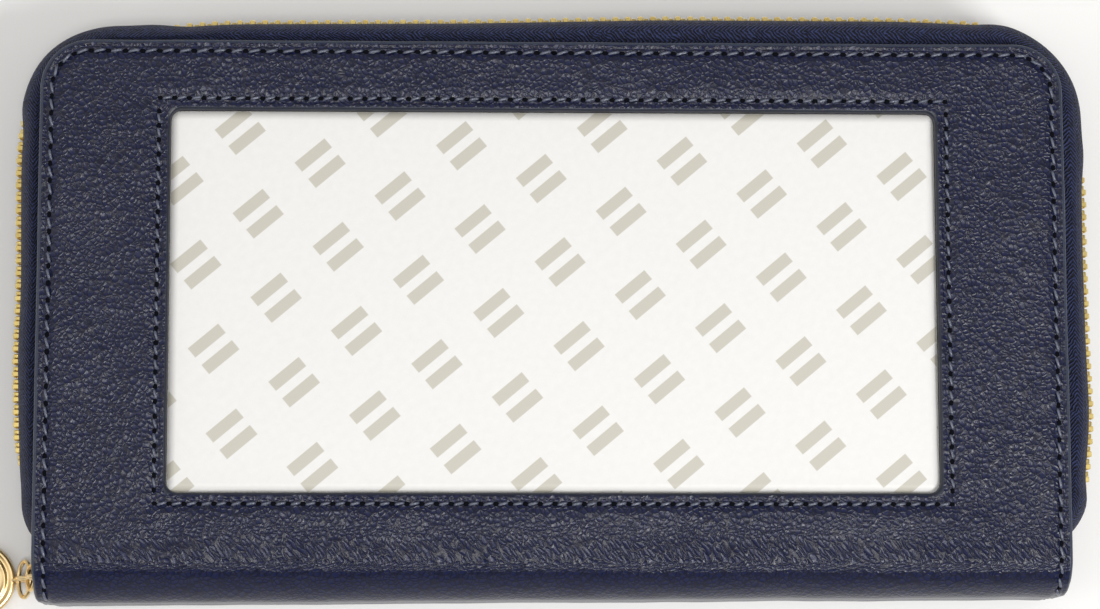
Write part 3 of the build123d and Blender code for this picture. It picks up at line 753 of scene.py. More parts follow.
def tube_faces(count, rings, sides):
    """Faces of many closed tubes, each of the given rings and sides."""
    faces = []
    for n in range(count):
        base = n * rings * sides
        for i in range(rings - 1):
            for k in range(sides):
                p, q = base + i * sides + k, base + i * sides + (k + 1) % sides
                faces.append((p, q, q + sides, p + sides))
        faces.append(tuple(base + k for k in reversed(range(sides))))
        faces.append(tuple(base + (rings - 1) * sides + k for k in range(sides)))
    return faces


def edge_places(last_s, shift):
    """Stitch centres (shift a half) or needle holes (no shift) both ways from the top middle."""
    radius = COVER_CORNER - EDGE_STITCH_INSET
    straight = RIGHT - COVER_CORNER
    quarter = radius * math.pi / 2
    total = straight + quarter + last_s - COVER_CORNER
    t = (np.arange(int(total / EDGE_STITCH_PITCH)) + shift) * EDGE_STITCH_PITCH
    angle = np.clip((t - straight) / radius, 0, math.pi / 2)
    down = np.maximum(t - straight - quarter, 0)
    x = np.minimum(t, straight) + radius * np.sin(angle)
    s = COVER_CORNER - radius * np.cos(angle) + down
    return np.concatenate([np.stack([side * x, s, side * angle], -1) for side in (1, -1)])


def window_places(shift):
    """Stitch centres or needle holes on the four straight rows round the window."""
    half_x = window_high[0] + WINDOW_STITCH_OFFSET
    half_s = WINDOW_HALF_S + WINDOW_STITCH_OFFSET
    rows = []
    for half_run, half_off, turn in ((half_x, half_s, 0.0), (half_s, half_x, math.pi / 2)):
        count = int(half_run / WINDOW_STITCH_PITCH)
        run = (np.arange(-count, count + (shift == 0)) + shift) * WINDOW_STITCH_PITCH
        for off in (np.full(len(run), half_off), np.full(len(run), -half_off)):
            x, s = (off, run) if turn else (run, off)
            rows.append(np.stack([x, WINDOW_MIDDLE_S + s, np.full(len(run), turn)], -1))
    return np.concatenate(rows)


def lay_thread(name, places, pitch, side, body, *nodes):
    """Slanted stitches at the given places, with a little unevenness."""
    rng = np.random.default_rng(len(places))
    turn = places[:, 2] - SLANT + rng.normal(0, 0.035, len(places))
    field, faces = capsule_field(places[:, :2], turn, pitch * 0.74, THREAD_RADIUS, 0.24)
    points = skin_point(field[..., 0], field[..., 1], field[..., 2] - 0.16).reshape(-1, 3)
    show(name, turned((points, faces), side), thread, "thread", body, *nodes)


def lay_hole_shade(name, places, side, body):
    """Near-black bars under the skin: painted shade inside the pits where the needle went through.
    """
    field, faces = capsule_field(places[:, :2], places[:, 2], 1.2, 0.37, 0.0, rings=5)
    points = skin_point(field[..., 0], field[..., 1], field[..., 2] * 0.5 - 0.24).reshape(-1, 3)
    show(name, turned((points, faces), side), needle_hole_shade, "thread", body)


def build_threads():
    last = S_HINGE + SPINE_ARC - 1.0
    stitches, holes = edge_places(last, 0.5), edge_places(last, 0.0)
    for side, nodes in (("front", ("spine_edge_stitching",)), ("back", ())):
        nodes = (f"{side}_edge_stitching", *nodes)
        lay_thread(f"{side}_edge_thread", stitches, EDGE_STITCH_PITCH, side, FOLD[side], *nodes)
        lay_hole_shade(f"{side}_edge_hole_shade", holes, side, FOLD[side])
    stitches, place = window_places(0.5), ("front", "front_cover")
    lay_thread("window_thread", stitches, WINDOW_STITCH_PITCH, *place, "window_stitching")
    lay_hole_shade("window_hole_shade", window_places(0.0), *place)


# ---- the main zip ----
def arc(x, y, radius, start, end):
    """Length of an arc of the zip, and its place and facing at a share of that length."""

    def place(share):
        angle = math.radians(start + (end - start) * share)
        return x + radius * math.cos(angle), y + radius * math.sin(angle), angle

    return math.radians(abs(start - end)) * radius, place


def line(x0, y0, x1, y1, facing):
    """Length of a straight of the zip, and its place and facing at a share of that length."""

    def place(share):
        return x0 + (x1 - x0) * share, y0 + (y1 - y0) * share, math.radians(facing)

    return math.hypot(x1 - x0, y1 - y0), place


def zip_run(step):
    """Stations of the whole closed zip: place, outward direction and distance run."""
    end_x, corner_x = ZIP_X - ZIP_END_RADIUS, ZIP_X - ZIP_CORNER
    corner_y = ZIP_TOP - ZIP_CORNER
    pieces = [
        arc(-end_x, LEFT_END_Y, ZIP_END_RADIUS, 180 + LEFT_END_TURN, 180.0),
        line(-ZIP_X, LEFT_END_Y, -ZIP_X, corner_y, 180.0),
        arc(-corner_x, corner_y, ZIP_CORNER, 180.0, 90.0),
        line(-corner_x, ZIP_TOP, corner_x, ZIP_TOP, 90.0),
        arc(corner_x, corner_y, ZIP_CORNER, 90.0, 0.0),
        line(ZIP_X, corner_y, ZIP_X, RIGHT_END_Y, 0.0),
        arc(end_x, RIGHT_END_Y, ZIP_END_RADIUS, 0.0, -RIGHT_END_TURN),
    ]
    stations, travelled = [], 0.0
    for length, place in pieces:
        count = max(2, round(length / step))
        for share in (i / count for i in range(count)):
            stations.append((*place(share), travelled + length * share))
        travelled += length
    stations.append((*place(1.0), travelled))
    return np.array(stations)


# How far the sewn zip wanders out from its even line, by place along each side.
LEFT_SWAY = (
    (-32, -28, -24, -17, -6, 5, 21, 30, 36, 41, 50),
    (-1.9, -1.6, -0.9, -0.7, -0.3, -0.7, -0.4, -0.25, -0.7, -1.2, -1.4),
)
RIGHT_SWAY = (
    (-40, -36, -32, -24, -17, -6, 13, 28, 36, 50),
    (-1.4, -1.15, -0.8, 0.15, 0.75, 0.35, 0.16, 0.3, -0.5, -0.3),
)
TOP_SWAY = (
    (-98, -90, -83, -75, -60, -16, 20, 64, 79, 86, 98),
    (-0.8, -1.5, -2.0, -1.7, -0.55, -0.15, 0.7, 0.7, 0.15, -0.5, -0.5),
)


def eased(place, table):
    """Value of a table at a place, with its corners rounded off."""
    return sum(np.interp(place + step, *table) for step in (-4, -2, 0, 2, 4)) / 5


def zip_sway(x, y):
    side = np.where(x < 0, eased(y, LEFT_SWAY), eased(y, RIGHT_SWAY))
    side = side * smooth_step(np.abs(x), 70, 97)
    top = smooth_step(y, 38, 53)
    return side * (1 - top) + top * eased(x, TOP_SWAY)


def zip_tuck(x, y):
    """Share of 0 to 1 by which the tape rolls out over its teeth, at corners and ends."""
    left_corner = smooth_step(-x, 66, 75) * smooth_step(y, 33, 41)
    right_corner = smooth_step(x, 77, 86) * smooth_step(y, 24, 33)
    left_end = smooth_step(-y, 21, 29) * (x < 0)
    right_end = smooth_step(-y, 27, 35) * (x > 0)
    return np.maximum.reduce([left_corner, right_corner, left_end, right_end])


def zip_places(stations, r, z):
    """Points at a distance out from the zip's line and at a height, for every station."""
    x, y, angle = stations[:, 0], stations[:, 1], stations[:, 2]
    reach = r + zip_sway(x, y)[:, None] * smooth_step(r, -6.0, -1.5)
    px = x[:, None] + reach * np.cos(angle)[:, None]
    py = y[:, None] + reach * np.sin(angle)[:, None]
    return np.stack([px, py, np.broadcast_to(z, px.shape)], -1)


# Section of the front tape: distance out from the zip's line, and height.
TAPE_LINE = (
    *((-7.4, 21.60), (-5.6, 21.50), (-4.4, 21.50), (-3.6, 21.80), (-2.8, 21.95), (-2.0, 21.60)),
    *((-1.3, 20.80), (-0.7, 19.70), (-0.3, 18.50), (-0.05, 17.3), (0.05, 16.2), (0.10, 15.3)),
)
TAPE_THICK = 0.75
TAPE_BOW = 0.9
SLIDER_END_BOW = 0.33


def closed_section(line, thick):
    """A thick strip round a line: the line itself, then back along its inner side."""
    points = np.array(line)
    inner = points + right_of(points) * thick
    return np.concatenate([points, inner[::-1]])


def swept_strip(stations, section):
    """Closed strip along the stations, its outer side pushed out at corners and ends."""
    tucked = zip_tuck(stations[:, 0], stations[:, 1])
    slider_end = (stations[:, 0] < 0) & (stations[:, 1] < 0)
    tucked = np.where(slider_end, tucked * SLIDER_END_BOW, tucked)
    r = section[:, 0][None, :] + TAPE_BOW * tucked[:, None] * smooth_step(section[:, 0], -4, 0)
    points = zip_places(stations, r, section[:, 1][None, :])
    count, sides = points.shape[:2]
    faces = []
    for i in range(count - 1):
        for k in range(sides):
            p, q = i * sides + k, i * sides + (k + 1) % sides
            faces.append((p, p + sides, q + sides, q))
    faces.append(tuple(range(sides)))
    faces.append(tuple((count - 1) * sides + k for k in reversed(range(sides))))
    steps = np.hypot(*np.diff(section, axis=0).T)
    across = np.concatenate([[0], np.cumsum(steps)])
    uv = np.stack(np.broadcast_arrays(stations[:, 3][:, None], across[None, :]), -1)
    return (points.reshape(-1, 3), faces), uv.reshape(-1, 2)


def end_borders(stations):
    """Distances along the run at which its left end stops and its right end starts."""
    left = math.radians(LEFT_END_TURN) * ZIP_END_RADIUS
    return left, stations[-1, 3] - math.radians(RIGHT_END_TURN) * ZIP_END_RADIUS


def split_run(stations):
    """The run cut into left end, main run and right end, sharing their border stations."""
    along = stations[:, 3]
    left, right = end_borders(stations)
    return {
        "left": stations[along <= left + 1e-6],
        "main": stations[(along >= left - 1e-6) & (along <= right + 1e-6)],
        "right": stations[along >= right - 1e-6],
    }


# Where the zip's ends bend between the spine and each cover.
END_FOLD = {
    "front": ("spine", "front_cover", at(0, -46, 12.5), at(0, -33.5, 12.5)),
    "back": ("back_cover", "spine", at(0, -33.5, 12.5), at(0, -46, 12.5)),
}


def show_zip(kind, part, side, mesh, material, slot_name, **looks):
    """One cover's half of the zip's main run, or of one of its ends."""
    name, node, body = f"{side}_{kind}", f"{side}_zip_{kind}", f"{side}_cover"
    if part != "main":
        name, body = f"{name}_{part}_end", END_FOLD[side]
        node = f"{part}_zip_end_" + ("tapes" if kind == "tape" else "teeth")
    show(name, turned(mesh, side), material, slot_name, body, node, **looks)


def build_tapes(stations):
    section = closed_section(TAPE_LINE, TAPE_THICK)
    for part, run in split_run(stations).items():
        mesh, uv = swept_strip(run, section)
        for side in ("front", "back"):
            show_zip("tape", part, side, mesh, tape_cloth, "zip_tape", uv=uv)


TOOTH_TUCK = 0.5
BACK_ROW_OUT = 0.3
# Rings of a tooth from its head to its legs: height, half width along the zip, half depth.
TOOTH_RINGS = (
    *((-1.85, 0.26, 0.55), (-1.70, 0.42, 0.90), (-1.20, 0.47, 1.10), (-0.70, 0.40, 1.02)),
    *((-0.30, 0.40, 1.02), (0.20, 0.52, 1.22), (1.50, 0.52, 1.24), (1.78, 0.36, 1.05)),
)


def tooth_shape():
    """One zip tooth: rounded head at the bottom, waist, and legs that grip the tape's cord."""
    corner = [(1, 0.82), (0.78, 1), (-0.78, 1), (-1, 0.82), (-1, -0.82), (-0.78, -1)]
    corner += [(0.78, -1), (1, -0.82)]
    points = []
    for z, half_along, half_out in TOOTH_RINGS:
        points += [(half_along * a, half_out * b, z) for a, b in corner]
    return np.array(points), tube_faces(1, len(TOOTH_RINGS), len(corner))


def tooth_row(stations, start, stop, shift):
    """Centres and facings of teeth along the run between two distances."""
    along = start + (np.arange(int((stop - start) / TOOTH_PITCH)) + shift) * TOOTH_PITCH
    return np.stack([np.interp(along, stations[:, 3], stations[:, k]) for k in range(3)], -1)


def teeth_mesh(row, middle_z, set_in):
    """All teeth of one row, each turned to face out of the wallet."""
    shape, faces = tooth_shape()
    tuck = TOOTH_TUCK * zip_tuck(row[:, 0], row[:, 1])
    sway = zip_sway(row[:, 0], row[:, 1]) - set_in - tuck
    slim = 1 - 0.5 * tuck * (row[:, 0] < 0) * (row[:, 1] < 0)
    teeth = []
    for n, (x, y, angle) in enumerate(row):
        out = np.array([math.cos(angle), math.sin(angle)])
        along = np.array([-out[1], out[0]])
        flat = shape[:, :1] * along + (shape[:, 1:2] * slim[n] + sway[n]) * out
        teeth.append((np.column_stack([flat + (x, y), shape[:, 2] + middle_z]), faces))
    return join_parts(teeth)


def build_teeth(stations):
    """Front and back teeth, meshed, along the main run and round both ends."""
    middle = (teeth_low[2] + teeth_high[2]) / 2
    left, right = end_borders(stations)
    spans = {"left": (0.8, left), "main": (left, right), "right": (right, stations[-1, 3] - 0.6)}
    for part, (start, stop) in spans.items():
        for side, shift in (("front", 0.25), ("back", 0.75)):
            row = tooth_row(stations, start, stop, shift)
            set_in = -BACK_ROW_OUT if side == "back" and part == "main" else 0.0
            mesh = teeth_mesh(row, middle, set_in)
            show_zip("teeth", part, side, mesh, brass, "zip_metal", smooth=False)


# ---- window liner ----
def build_liner():
    """The printed release paper, lying slightly wavy in its window."""
    counts = [max(2, round((liner_high[k] - liner_low[k]) / 1.5) + 1) for k in range(2)]
    lines = [np.linspace(liner_low[k], liner_high[k], counts[k]) for k in range(2)]
    x, y = np.meshgrid(*lines, indexing="ij")
    edge = rim_distance(x, y, liner_low, liner_high)
    wave = 0.06 + 0.05 * ripple(x, y, 31, 60.0) * smooth_step(edge, 0, 12)
    sheets = [np.stack([x, y, liner_high[2] + wave - depth], -1) for depth in (0.0, 0.2)]
    part = thick_sheet(*sheets)[:2]
    nodes = ("release_liner", "release_liner")
    show("release_paper", part, liner_paper, "liner_paper", *nodes, uv=part[0][:, :2])


# ---- inside: lining, card pockets, pleats and coin pocket ----
RIM_LINES = (0.0, 0.10, 0.30, 0.70)


def rim_distance(x, y, low, high):
    """Distance in from the nearest side of a rectangle."""
    return np.minimum.reduce([x - low[0], high[0] - x, y - low[1], high[1] - y])


def rimmed_lines(low, high, step):
    """Grid lines between two positions, with extra ones near both ends for a rolled edge."""
    rim = np.array(RIM_LINES)
    inside = spaced(low + rim[-1], high - rim[-1], step)
    return np.concatenate([low + rim, inside, (high - rim)[::-1]])


def soft_panel(low, high, step, top_z, thick, keep=None):
    """A soft sheet over a rectangle with rolled edges; top_z gives its upper face's height."""
    lines = [rimmed_lines(low[k], high[k], step) for k in range(2)]
    x, y = np.meshgrid(*lines, indexing="ij")
    roll = np.clip(1 - rim_distance(x, y, low, high) / RIM_LINES[-1], 0, 1)
    fall = thick / 2 * (1 - np.sqrt(np.clip(1 - roll**2, 0, 1)))
    z = top_z(x, y)
    hole = None
    if keep is not None:
        hole = ~keep((x[:-1, :-1] + x[1:, 1:]) / 2, (y[:-1, :-1] + y[1:, 1:]) / 2)
    upper = np.stack([x, y, z - fall * 0.98], -1)
    under = np.stack([x, y, z - thick + fall * 0.98], -1)
    return thick_sheet(upper, under, hole)[:2]


def build_linings():
    """Cloth inside each cover, swelling a little over the padding under it."""
    low, high = box_mm("back_lining")
    _, pad_high = box_mm("back_padding")

    def top_z(x, y):
        over = np.minimum(pad_high[0] - np.abs(x), pad_high[1] - y)
        swell = 0.22 * smooth_step(over, -4.0, 6.0)
        return high[2] - 0.20 + swell + 0.05 * ripple(x, y, 41, 22.0)

    def keep(x, y):
        return (np.abs(x) < 85.5) | (y > -28.0)

    part = soft_panel(low, high, 2.4, top_z, 0.85, keep)
    for side, nodes in (("back", ("back_lining", "back_padding")), ("front", ("front_lining",))):
        mesh = turned(part, side, "back")
        show(f"{side}_lining_cloth", mesh, lining_cloth, "lining_cloth", f"{side}_cover", *nodes)


def build_spine_lining():
    """Cloth strip that lines the curve of the spine from hinge to hinge."""
    low, high = box_mm("spine_lining")
    lines = rimmed_lines(low[0], high[0], 3.0), np.linspace(S_HINGE, S_END, 14)
    x, s = np.meshgrid(*lines, indexing="ij")
    sheets = []
    for depth in (LEATHER + 0.08, LEATHER + 0.78):
        upper = skin_point(x, s, -depth - soft_relief(x, s) + 0.04 * ripple(x, s, 43, 12.0))
        lower = upper[:, ::-1].copy()
        lower[..., 2] = FRONT_Z - lower[..., 2]
        sheets.append(np.concatenate([upper, lower[:, 1:]], axis=1))
    part = thick_sheet(*sheets)[:2]
    show("spine_lining_cloth", part, lining_cloth, "lining_cloth", "spine", "spine_lining")


CARD_STEPS = 4
CARD_STEP = 10.0
CARD_SHEET = 0.5


def card_pocket_parts():
    """Four overlapping pocket fronts of the left half, each bowed a little by its opening."""
    low, high = box_mm("back_card_pockets_left")
    parts = []
    for i in range(CARD_STEPS):
        top_y = high[1] - i * CARD_STEP
        z = low[2] + (i + 1) * CARD_SHEET

        def top_z(x, y, z=z, top_y=top_y, i=i):
            lip = 0.16 * smooth_step(y, top_y - 2.2, top_y - 0.6)
            middle = 1 - ((x - (low[0] + high[0]) / 2) / ((high[0] - low[0]) / 2)) ** 2
            bow = 0.28 * np.clip(middle, 0, 1) * smooth_step(y, top_y - 14, top_y)
            return z + lip + bow + 0.03 * ripple(x, y, 50 + i, 16.0)

        corner_low, corner_high = (low[0], low[1]), (high[0], top_y)
        parts.append(soft_panel(corner_low, corner_high, 2.6, top_z, CARD_SHEET * 0.92))
    return parts


def pocket_threads():
    """Short stitches that hold each pocket's lower edge and both its ends."""
    low, high = box_mm("back_card_pockets_left")
    z = low[2] + CARD_STEPS * CARD_SHEET
    places = []
    for x in np.arange(low[0] + 3, high[0] - 2, 2.8):
        places.append((x, low[1] + 1.4, z, 0.0))
    for i in range(CARD_STEPS):
        level = low[2] + (i + 1) * CARD_SHEET
        top_y = high[1] - i * CARD_STEP
        for x in (low[0] + 1.3, high[0] - 1.3):
            start = top_y - CARD_STEP if i < CARD_STEPS - 1 else low[1] + 3
            for y in np.arange(start + 1.5, top_y - 1.0, 2.8):
                places.append((x, y, level, math.pi / 2))
    parts = []
    for x, y, level, angle in places:
        along = (math.cos(angle), math.sin(angle), 0)
        across = (-math.sin(angle), math.cos(angle), 0)
        parts.append(short_thread((x, y, level + 0.03), along, across, 1.0, 0.2))
    return parts


def short_thread(centre, along, across, half_long, radius):
    """One rounded stitch in the open, bowed up between its two ends."""
    u = np.linspace(-1, 1, 7)
    phi = np.arange(6) * TAU / 6
    girth = radius * np.sqrt(np.clip(1 - u**6, 0, 1)) + 0.02
    rise = 0.16 * (1 - u * u)
    round_it = np.cos(phi)[:, None] * np.array(across) + np.sin(phi)[:, None] * np.array((0, 0, 1))
    ring = girth[:, None, None] * round_it
    line = np.array(centre) + np.outer(u * half_long, along) + np.outer(rise, (0, 0, 1))
    return (line[:, None, :] + ring).reshape(-1, 3), tube_faces(1, 7, 6)


def build_card_pockets():
    made = (
        ("", join_parts(card_pocket_parts()), pocket_leather, "navy_leather"),
        ("_thread", join_parts(pocket_threads()), thread, "thread"),
    )
    for side in ("back", "front"):
        for hand in ("left", "right"):
            for ending, part, material, slot_name in made:
                mesh = turned(part if hand == "left" else mirror_x(*part), side, "back")
                name = f"{side}_cards_{hand}{ending}"
                nodes = () if ending else (f"{side}_card_pockets_{hand}",)
                show(name, mesh, material, slot_name, f"{side}_cover", *nodes)


# Gusset folds seen along the wallet: from the cover's lining out and in to the coin pocket.
GUSSET_LINE = (
    *((-90.6, 4.25), (-89.0, 4.55), (-83.0, 5.40), (-78.2, 6.30), (-77.3, 6.85)),
    *((-78.4, 7.35), (-84.0, 8.00), (-89.2, 8.75), (-90.2, 9.30), (-89.2, 9.85)),
    *((-84.0, 10.5), (-78.0, 11.2), (-74.4, 11.9)),
)
GUSSET_THICK = 0.42
GUSSET_LOW = -46.0
GUSSET_FOLD = (4.4, 11.8)


def gusset_part():
    """Cloth gusset at the left end of the back compartment, folded like a fan."""
    _, high = box_mm("back_pleats")
    corners = np.array(GUSSET_LINE)
    fine = np.linspace(0, len(corners) - 1, 49)
    order = np.arange(len(corners))
    path = np.stack([np.interp(fine, order, corners[:, k]) for k in range(2)], -1)
    path[1:-1] = (path[:-2] + path[1:-1] * 2 + path[2:]) / 4
    y = rimmed_lines(GUSSET_LOW, high[1], 3.0)
    sheets = []
    for side in (-0.5, 0.5):
        x, z = (path - right_of(path) * side * GUSSET_THICK).T[:, :, None]
        x, along, z = np.broadcast_arrays(x, y, z)
        wave = 0.12 * ripple(x * 0.5, along, 61, 18.0)
        sheets.append(np.stack([x + wave, along, z], -1))
    return thick_sheet(*sheets)[:2]


def build_gussets():
    """Fan-folded cloth between each cover and the coin pocket."""
    left = gusset_part()
    both = join_parts([left, mirror_x(*left)])
    low, high = GUSSET_FOLD
    folds = {
        "back": ("back_cover", "spine", at(0, 0, low), at(0, 0, high)),
        "front": ("spine", "front_cover", at(0, 0, FRONT_Z - high), at(0, 0, FRONT_Z - low)),
    }
    for side, fold in folds.items():
        mesh = turned(both, side, "back")
        show(f"{side}_gussets", mesh, lining_cloth, "lining_cloth", fold, f"{side}_pleats")


def coin_wall_part():
    """Back wall of the coin pocket: full in the middle, pinched along its sewn edges."""
    low, high = box_mm("coin_wall_back")

    def top_z(x, y):
        edge = np.minimum.reduce([high[0] - np.abs(x), y - low[1]])
        full = smooth_step(edge, 0.4, 9.0)
        gather = 0.10 * np.sin(x * TAU / 7.3 + 1.5 * np.sin(y / 9)) * (1 - full)
        height = low[2] + 0.6 + 1.15 * (1 - full) + gather
        return height + 0.06 * ripple(x, y, 71, 15.0) * full

    return soft_panel(low, high, 1.8, top_z, 0.5)


def coin_binding():
    """Folded strip sewn round the three closed edges of the coin pocket."""
    low, high = box_mm("coin_pocket_seam")
    x, y_low, y_high = high[0] - 0.5, low[1] + 0.5, high[1] - 0.6
    corner = 4.0
    left = [(-x, y_high), (-x, y_low + corner)]
    for turn in (math.pi / 2 * k / 6 for k in range(1, 6)):
        left.append((-x + corner * (1 - math.cos(turn)), y_low + corner * (1 - math.sin(turn))))
    left.append((-x + corner, y_low))
    path = left + [(u, y_low) for u in np.linspace(-x + 8, x - 8, 40)]
    path = np.array(path + [(-px, py) for px, py in left[::-1]])
    phi = np.arange(10) * TAU / 10
    ring_out, ring_up = 0.75 * np.cos(phi), 0.95 * np.sin(phi)
    points = np.empty((len(path), len(phi), 3))
    points[..., :2] = path[:, None, :] + ring_out[None, :, None] * right_of(path)[:, None, :]
    points[..., 2] = MIDDLE_Z + ring_up
    return points.reshape(-1, 3), tube_faces(1, len(path), len(phi))


def build_coin_pocket():
    wall = coin_wall_part()
    pocket = join_parts([wall, mirror_z(*wall), coin_binding()])
    nodes = ("coin_wall_back", "coin_wall_front", "coin_pocket_seam")
    show("coin_pocket", pocket, coin_cloth, "lining_cloth", "spine", *nodes)
    build_coin_zip()


# Size of a coin zip tooth beside a main one, and its pitch.
COIN_TOOTH_SCALE = (0.9, 0.58, 0.50)
COIN_TOOTH_PITCH = 1.25


def build_coin_zip():
    """Coin zip: two woven tapes and their teeth; the slider and stops come from the CAD part."""
    low, high = box_mm("coin_zip_tapes")

    def top_z(x, y):
        return low[2] + 0.5 + 0.03 * ripple(x, y, 81, 14.0)

    tape = soft_panel(low, high, 1.8, top_z, 0.46)
    both = join_parts([tape, mirror_z(*tape)])
    looks = (coin_tape_cloth, "zip_tape")
    show("coin_zip_tape", both, *looks, "spine", "coin_zip_tapes", uv=both[0][:, :2])
    low, high = box_mm("coin_zip_teeth")
    shape, faces = tooth_shape()
    shape = shape * COIN_TOOTH_SCALE
    parts = []
    for i, x in enumerate(np.arange(low[0] + 0.5, high[0] - 0.4, COIN_TOOTH_PITCH)):
        offset = np.array((x, (low[1] + high[1]) / 2, MIDDLE_Z + 0.6))
        tooth = (shape + offset, faces)
        parts.append(tooth if i % 2 else mirror_z(*tooth))
    teeth = join_parts(parts)
    show("coin_teeth", teeth, brass, "zip_metal", "spine", "coin_zip_teeth", smooth=False)


# ---- pull chain and medallion ----
def oval_link(centre, along, across, half_long, half_wide, rings=40, sides=12):
    """A wire link: an oval of the given half sizes in the plane of two directions."""
    along = np.array(along, float) / np.linalg.norm(along)
    across = np.array(across, float) / np.linalg.norm(across)
    normal = np.cross(along, across)
    turn = np.arange(rings) * TAU / rings
    phi = np.arange(sides) * TAU / sides
    path = np.outer(half_long * np.cos(turn), along) + np.outer(half_wide * np.sin(turn), across)
    out = np.outer(half_wide * np.cos(turn), along) + np.outer(half_long * np.sin(turn), across)
    out /= np.linalg.norm(out, axis=1)[:, None]
    points = (
        np.array(centre)
        + path[:, None, :]
        + LINK_WIRE * np.cos(phi)[None, :, None] * out[:, None, :]
        + LINK_WIRE * np.sin(phi)[None, :, None] * normal
    )
    faces = []
    for i in range(rings):
        here, ahead = i * sides, (i + 1) % rings * sides
        for k in range(sides):
            n = (k + 1) % sides
            faces.append((here + k, here + n, ahead + n, ahead + k))
    return points.reshape(-1, 3), faces


def lathe(profile, centre, sides=72):
    """Closed round shape from a profile of (radius, height), first and last on the axis."""
    turn = np.arange(sides) * TAU / sides
    points = [np.array([0, 0, profile[0][1]])]
    for radius, height in profile[1:-1]:
        ring = np.stack([radius * np.cos(turn), radius * np.sin(turn), np.full(sides, height)], -1)
        points.extend(ring)
    points.append(np.array([0, 0, profile[-1][1]]))
    rings = len(profile) - 2
    faces = []
    for k in range(sides):
        n = (k + 1) % sides
        faces.append((0, 1 + n, 1 + k))
        for i in range(rings - 1):
            a, b = 1 + i * sides + k, 1 + i * sides + n
            faces.append((a, b, b + sides, a + sides))
        top = 1 + (rings - 1) * sides
        faces.append((top + k, top + n, 1 + rings * sides))
    return np.array(points) + centre, faces


# Medallion from the middle of its top face out over two raised rims and round its edge.
MEDALLION_FACE = (
    *((0.0, 0.52), (4.30, 0.52), (4.55, 0.56), (4.70, 0.80), (4.95, 0.92), (5.20, 0.80)),
    *((5.35, 0.60), (5.60, 0.56), (5.85, 0.62), (6.00, 0.86), (6.30, 0.98), (6.65, 0.90)),
    *((6.88, 0.60), (6.95, 0.0)),
)
MEDALLION_SHIFT = -0.9
LINK_WIRE = 0.40
# Each pull ring's slope in degrees, half length and half width.
LINKS = ((54.0, 1.9, 1.9), (62.0, 1.9, 2.2), (70.0, 2.1, 1.7), (50.0, 2.0, 3.3))


def build_chain():
    """Four links and a medallion; the last links are long ovals, one upright and one across."""
    for number, (down, half_long, half_wide) in enumerate(LINKS, 1):
        slope = math.radians(down)
        along = (-math.cos(slope), 0, -math.sin(slope))
        upright = (math.sin(slope), 0, -math.cos(slope))
        across = upright if number % 2 else (0, 1, 0)
        low, high = box_mm(f"pull_ring_{number}")
        link = oval_link((low + high) / 2, along, across, half_long, half_wide)
        bodies = (f"ring_{number}", f"pull_ring_{number}")
        show(f"chain_link_{number}", link, gold, "gold_chain", *bodies)
    low, high = box_mm("medallion")
    centre = np.array([low[0] + 6.9 + MEDALLION_SHIFT, (low[1] + high[1]) / 2, 0.98])
    profile = list(MEDALLION_FACE) + [(r, -z) for r, z in reversed(MEDALLION_FACE[:-1])]
    loop_centre = (centre[0] + 7.7, centre[1], 1.25)
    loop = oval_link(loop_centre, (-1, 0, -0.25), (-0.25, 0, 1), 1.75, 0.85)
    disc = join_parts([lathe(profile, centre), loop])
    show("medallion_disc", disc, gold, "gold_chain", "medallion", "medallion")


# ---- metal carried over from the CAD part ----
# The main slider follows the zip, which runs a little inside its even line at this end.
SLIDER_TURN = math.radians(74.0)
SLIDER_SET_IN = 2.3
SLIDER_FLANGE_Z = 3.3
CROWN_FOOT = 3.0
SLIDER_SPREAD = 0.3


def move_slider(points, crown):
    """Slider moved in with the zip; the crown keeps its arch and only its feet reach in."""
    outward = np.array((-math.cos(SLIDER_TURN), -math.sin(SLIDER_TURN)))
    centre = np.array((ZIP_END_RADIUS - ZIP_X, LEFT_END_Y)) + ZIP_END_RADIUS * outward
    level = (points[:, :2] - centre) @ outward
    shift = np.full(len(points), -SLIDER_SET_IN)
    if crown:
        shift[level > CROWN_FOOT] = 0.0
        shift[level <= CROWN_FOOT] += SLIDER_SPREAD
    else:
        flange = (np.abs(points[:, 2] - MIDDLE_Z) > SLIDER_FLANGE_Z) & (np.abs(level) < 1.2)
        shift[flange] += (np.sign(level) * 1.3 - level)[flange]
        shift += np.sign(level) * SLIDER_SPREAD
    points[:, :2] += shift[:, None] * outward
    return points


def build_slider():
    for node, name in (("zip_slider_body", "slider_plates"), ("zip_slider_crown", "slider_crown")):
        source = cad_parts[node]
        points = np.array([source.matrix_world @ v.co for v in source.data.vertices]) / MM
        faces = [tuple(face.vertices) for face in source.data.polygons]
        part = (move_slider(points, name == "slider_crown"), faces)
        soften_edges(show(name, part, brass, "zip_metal", "zip_slider", node, smooth=False), 0.15)


def soften_edges(obj, width):
    weld = obj.modifiers.new("weld", "WELD")
    weld.merge_threshold = 0.000005
    soft = obj.modifiers.new("soft_edges", "BEVEL")
    soft.width = width * MM
    soft.segments = 3
    soft.limit_method = "ANGLE"
    soft.angle_limit = math.radians(35)


def dress_cad_nodes():
    """Gives the CAD nodes that show their finish, and softens the edges of the metal ones."""
    finishes = (
        (grey_board, 0, "back_board", "front_frame_board", "front_backing_board"),
        (adhesive, 0, "adhesive_sheet"),
        (brass, 0.15, "coin_slider_body", "coin_puller"),
        (brass, 0.2, "zip_bottom_stop", "coin_zip_stops"),
    )
    for material, bevel, *nodes in finishes:
        for node in nodes:
            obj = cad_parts[node]
            obj.data.materials.clear()
            obj.data.materials.append(material)
            if bevel:
                soften_edges(obj, bevel)


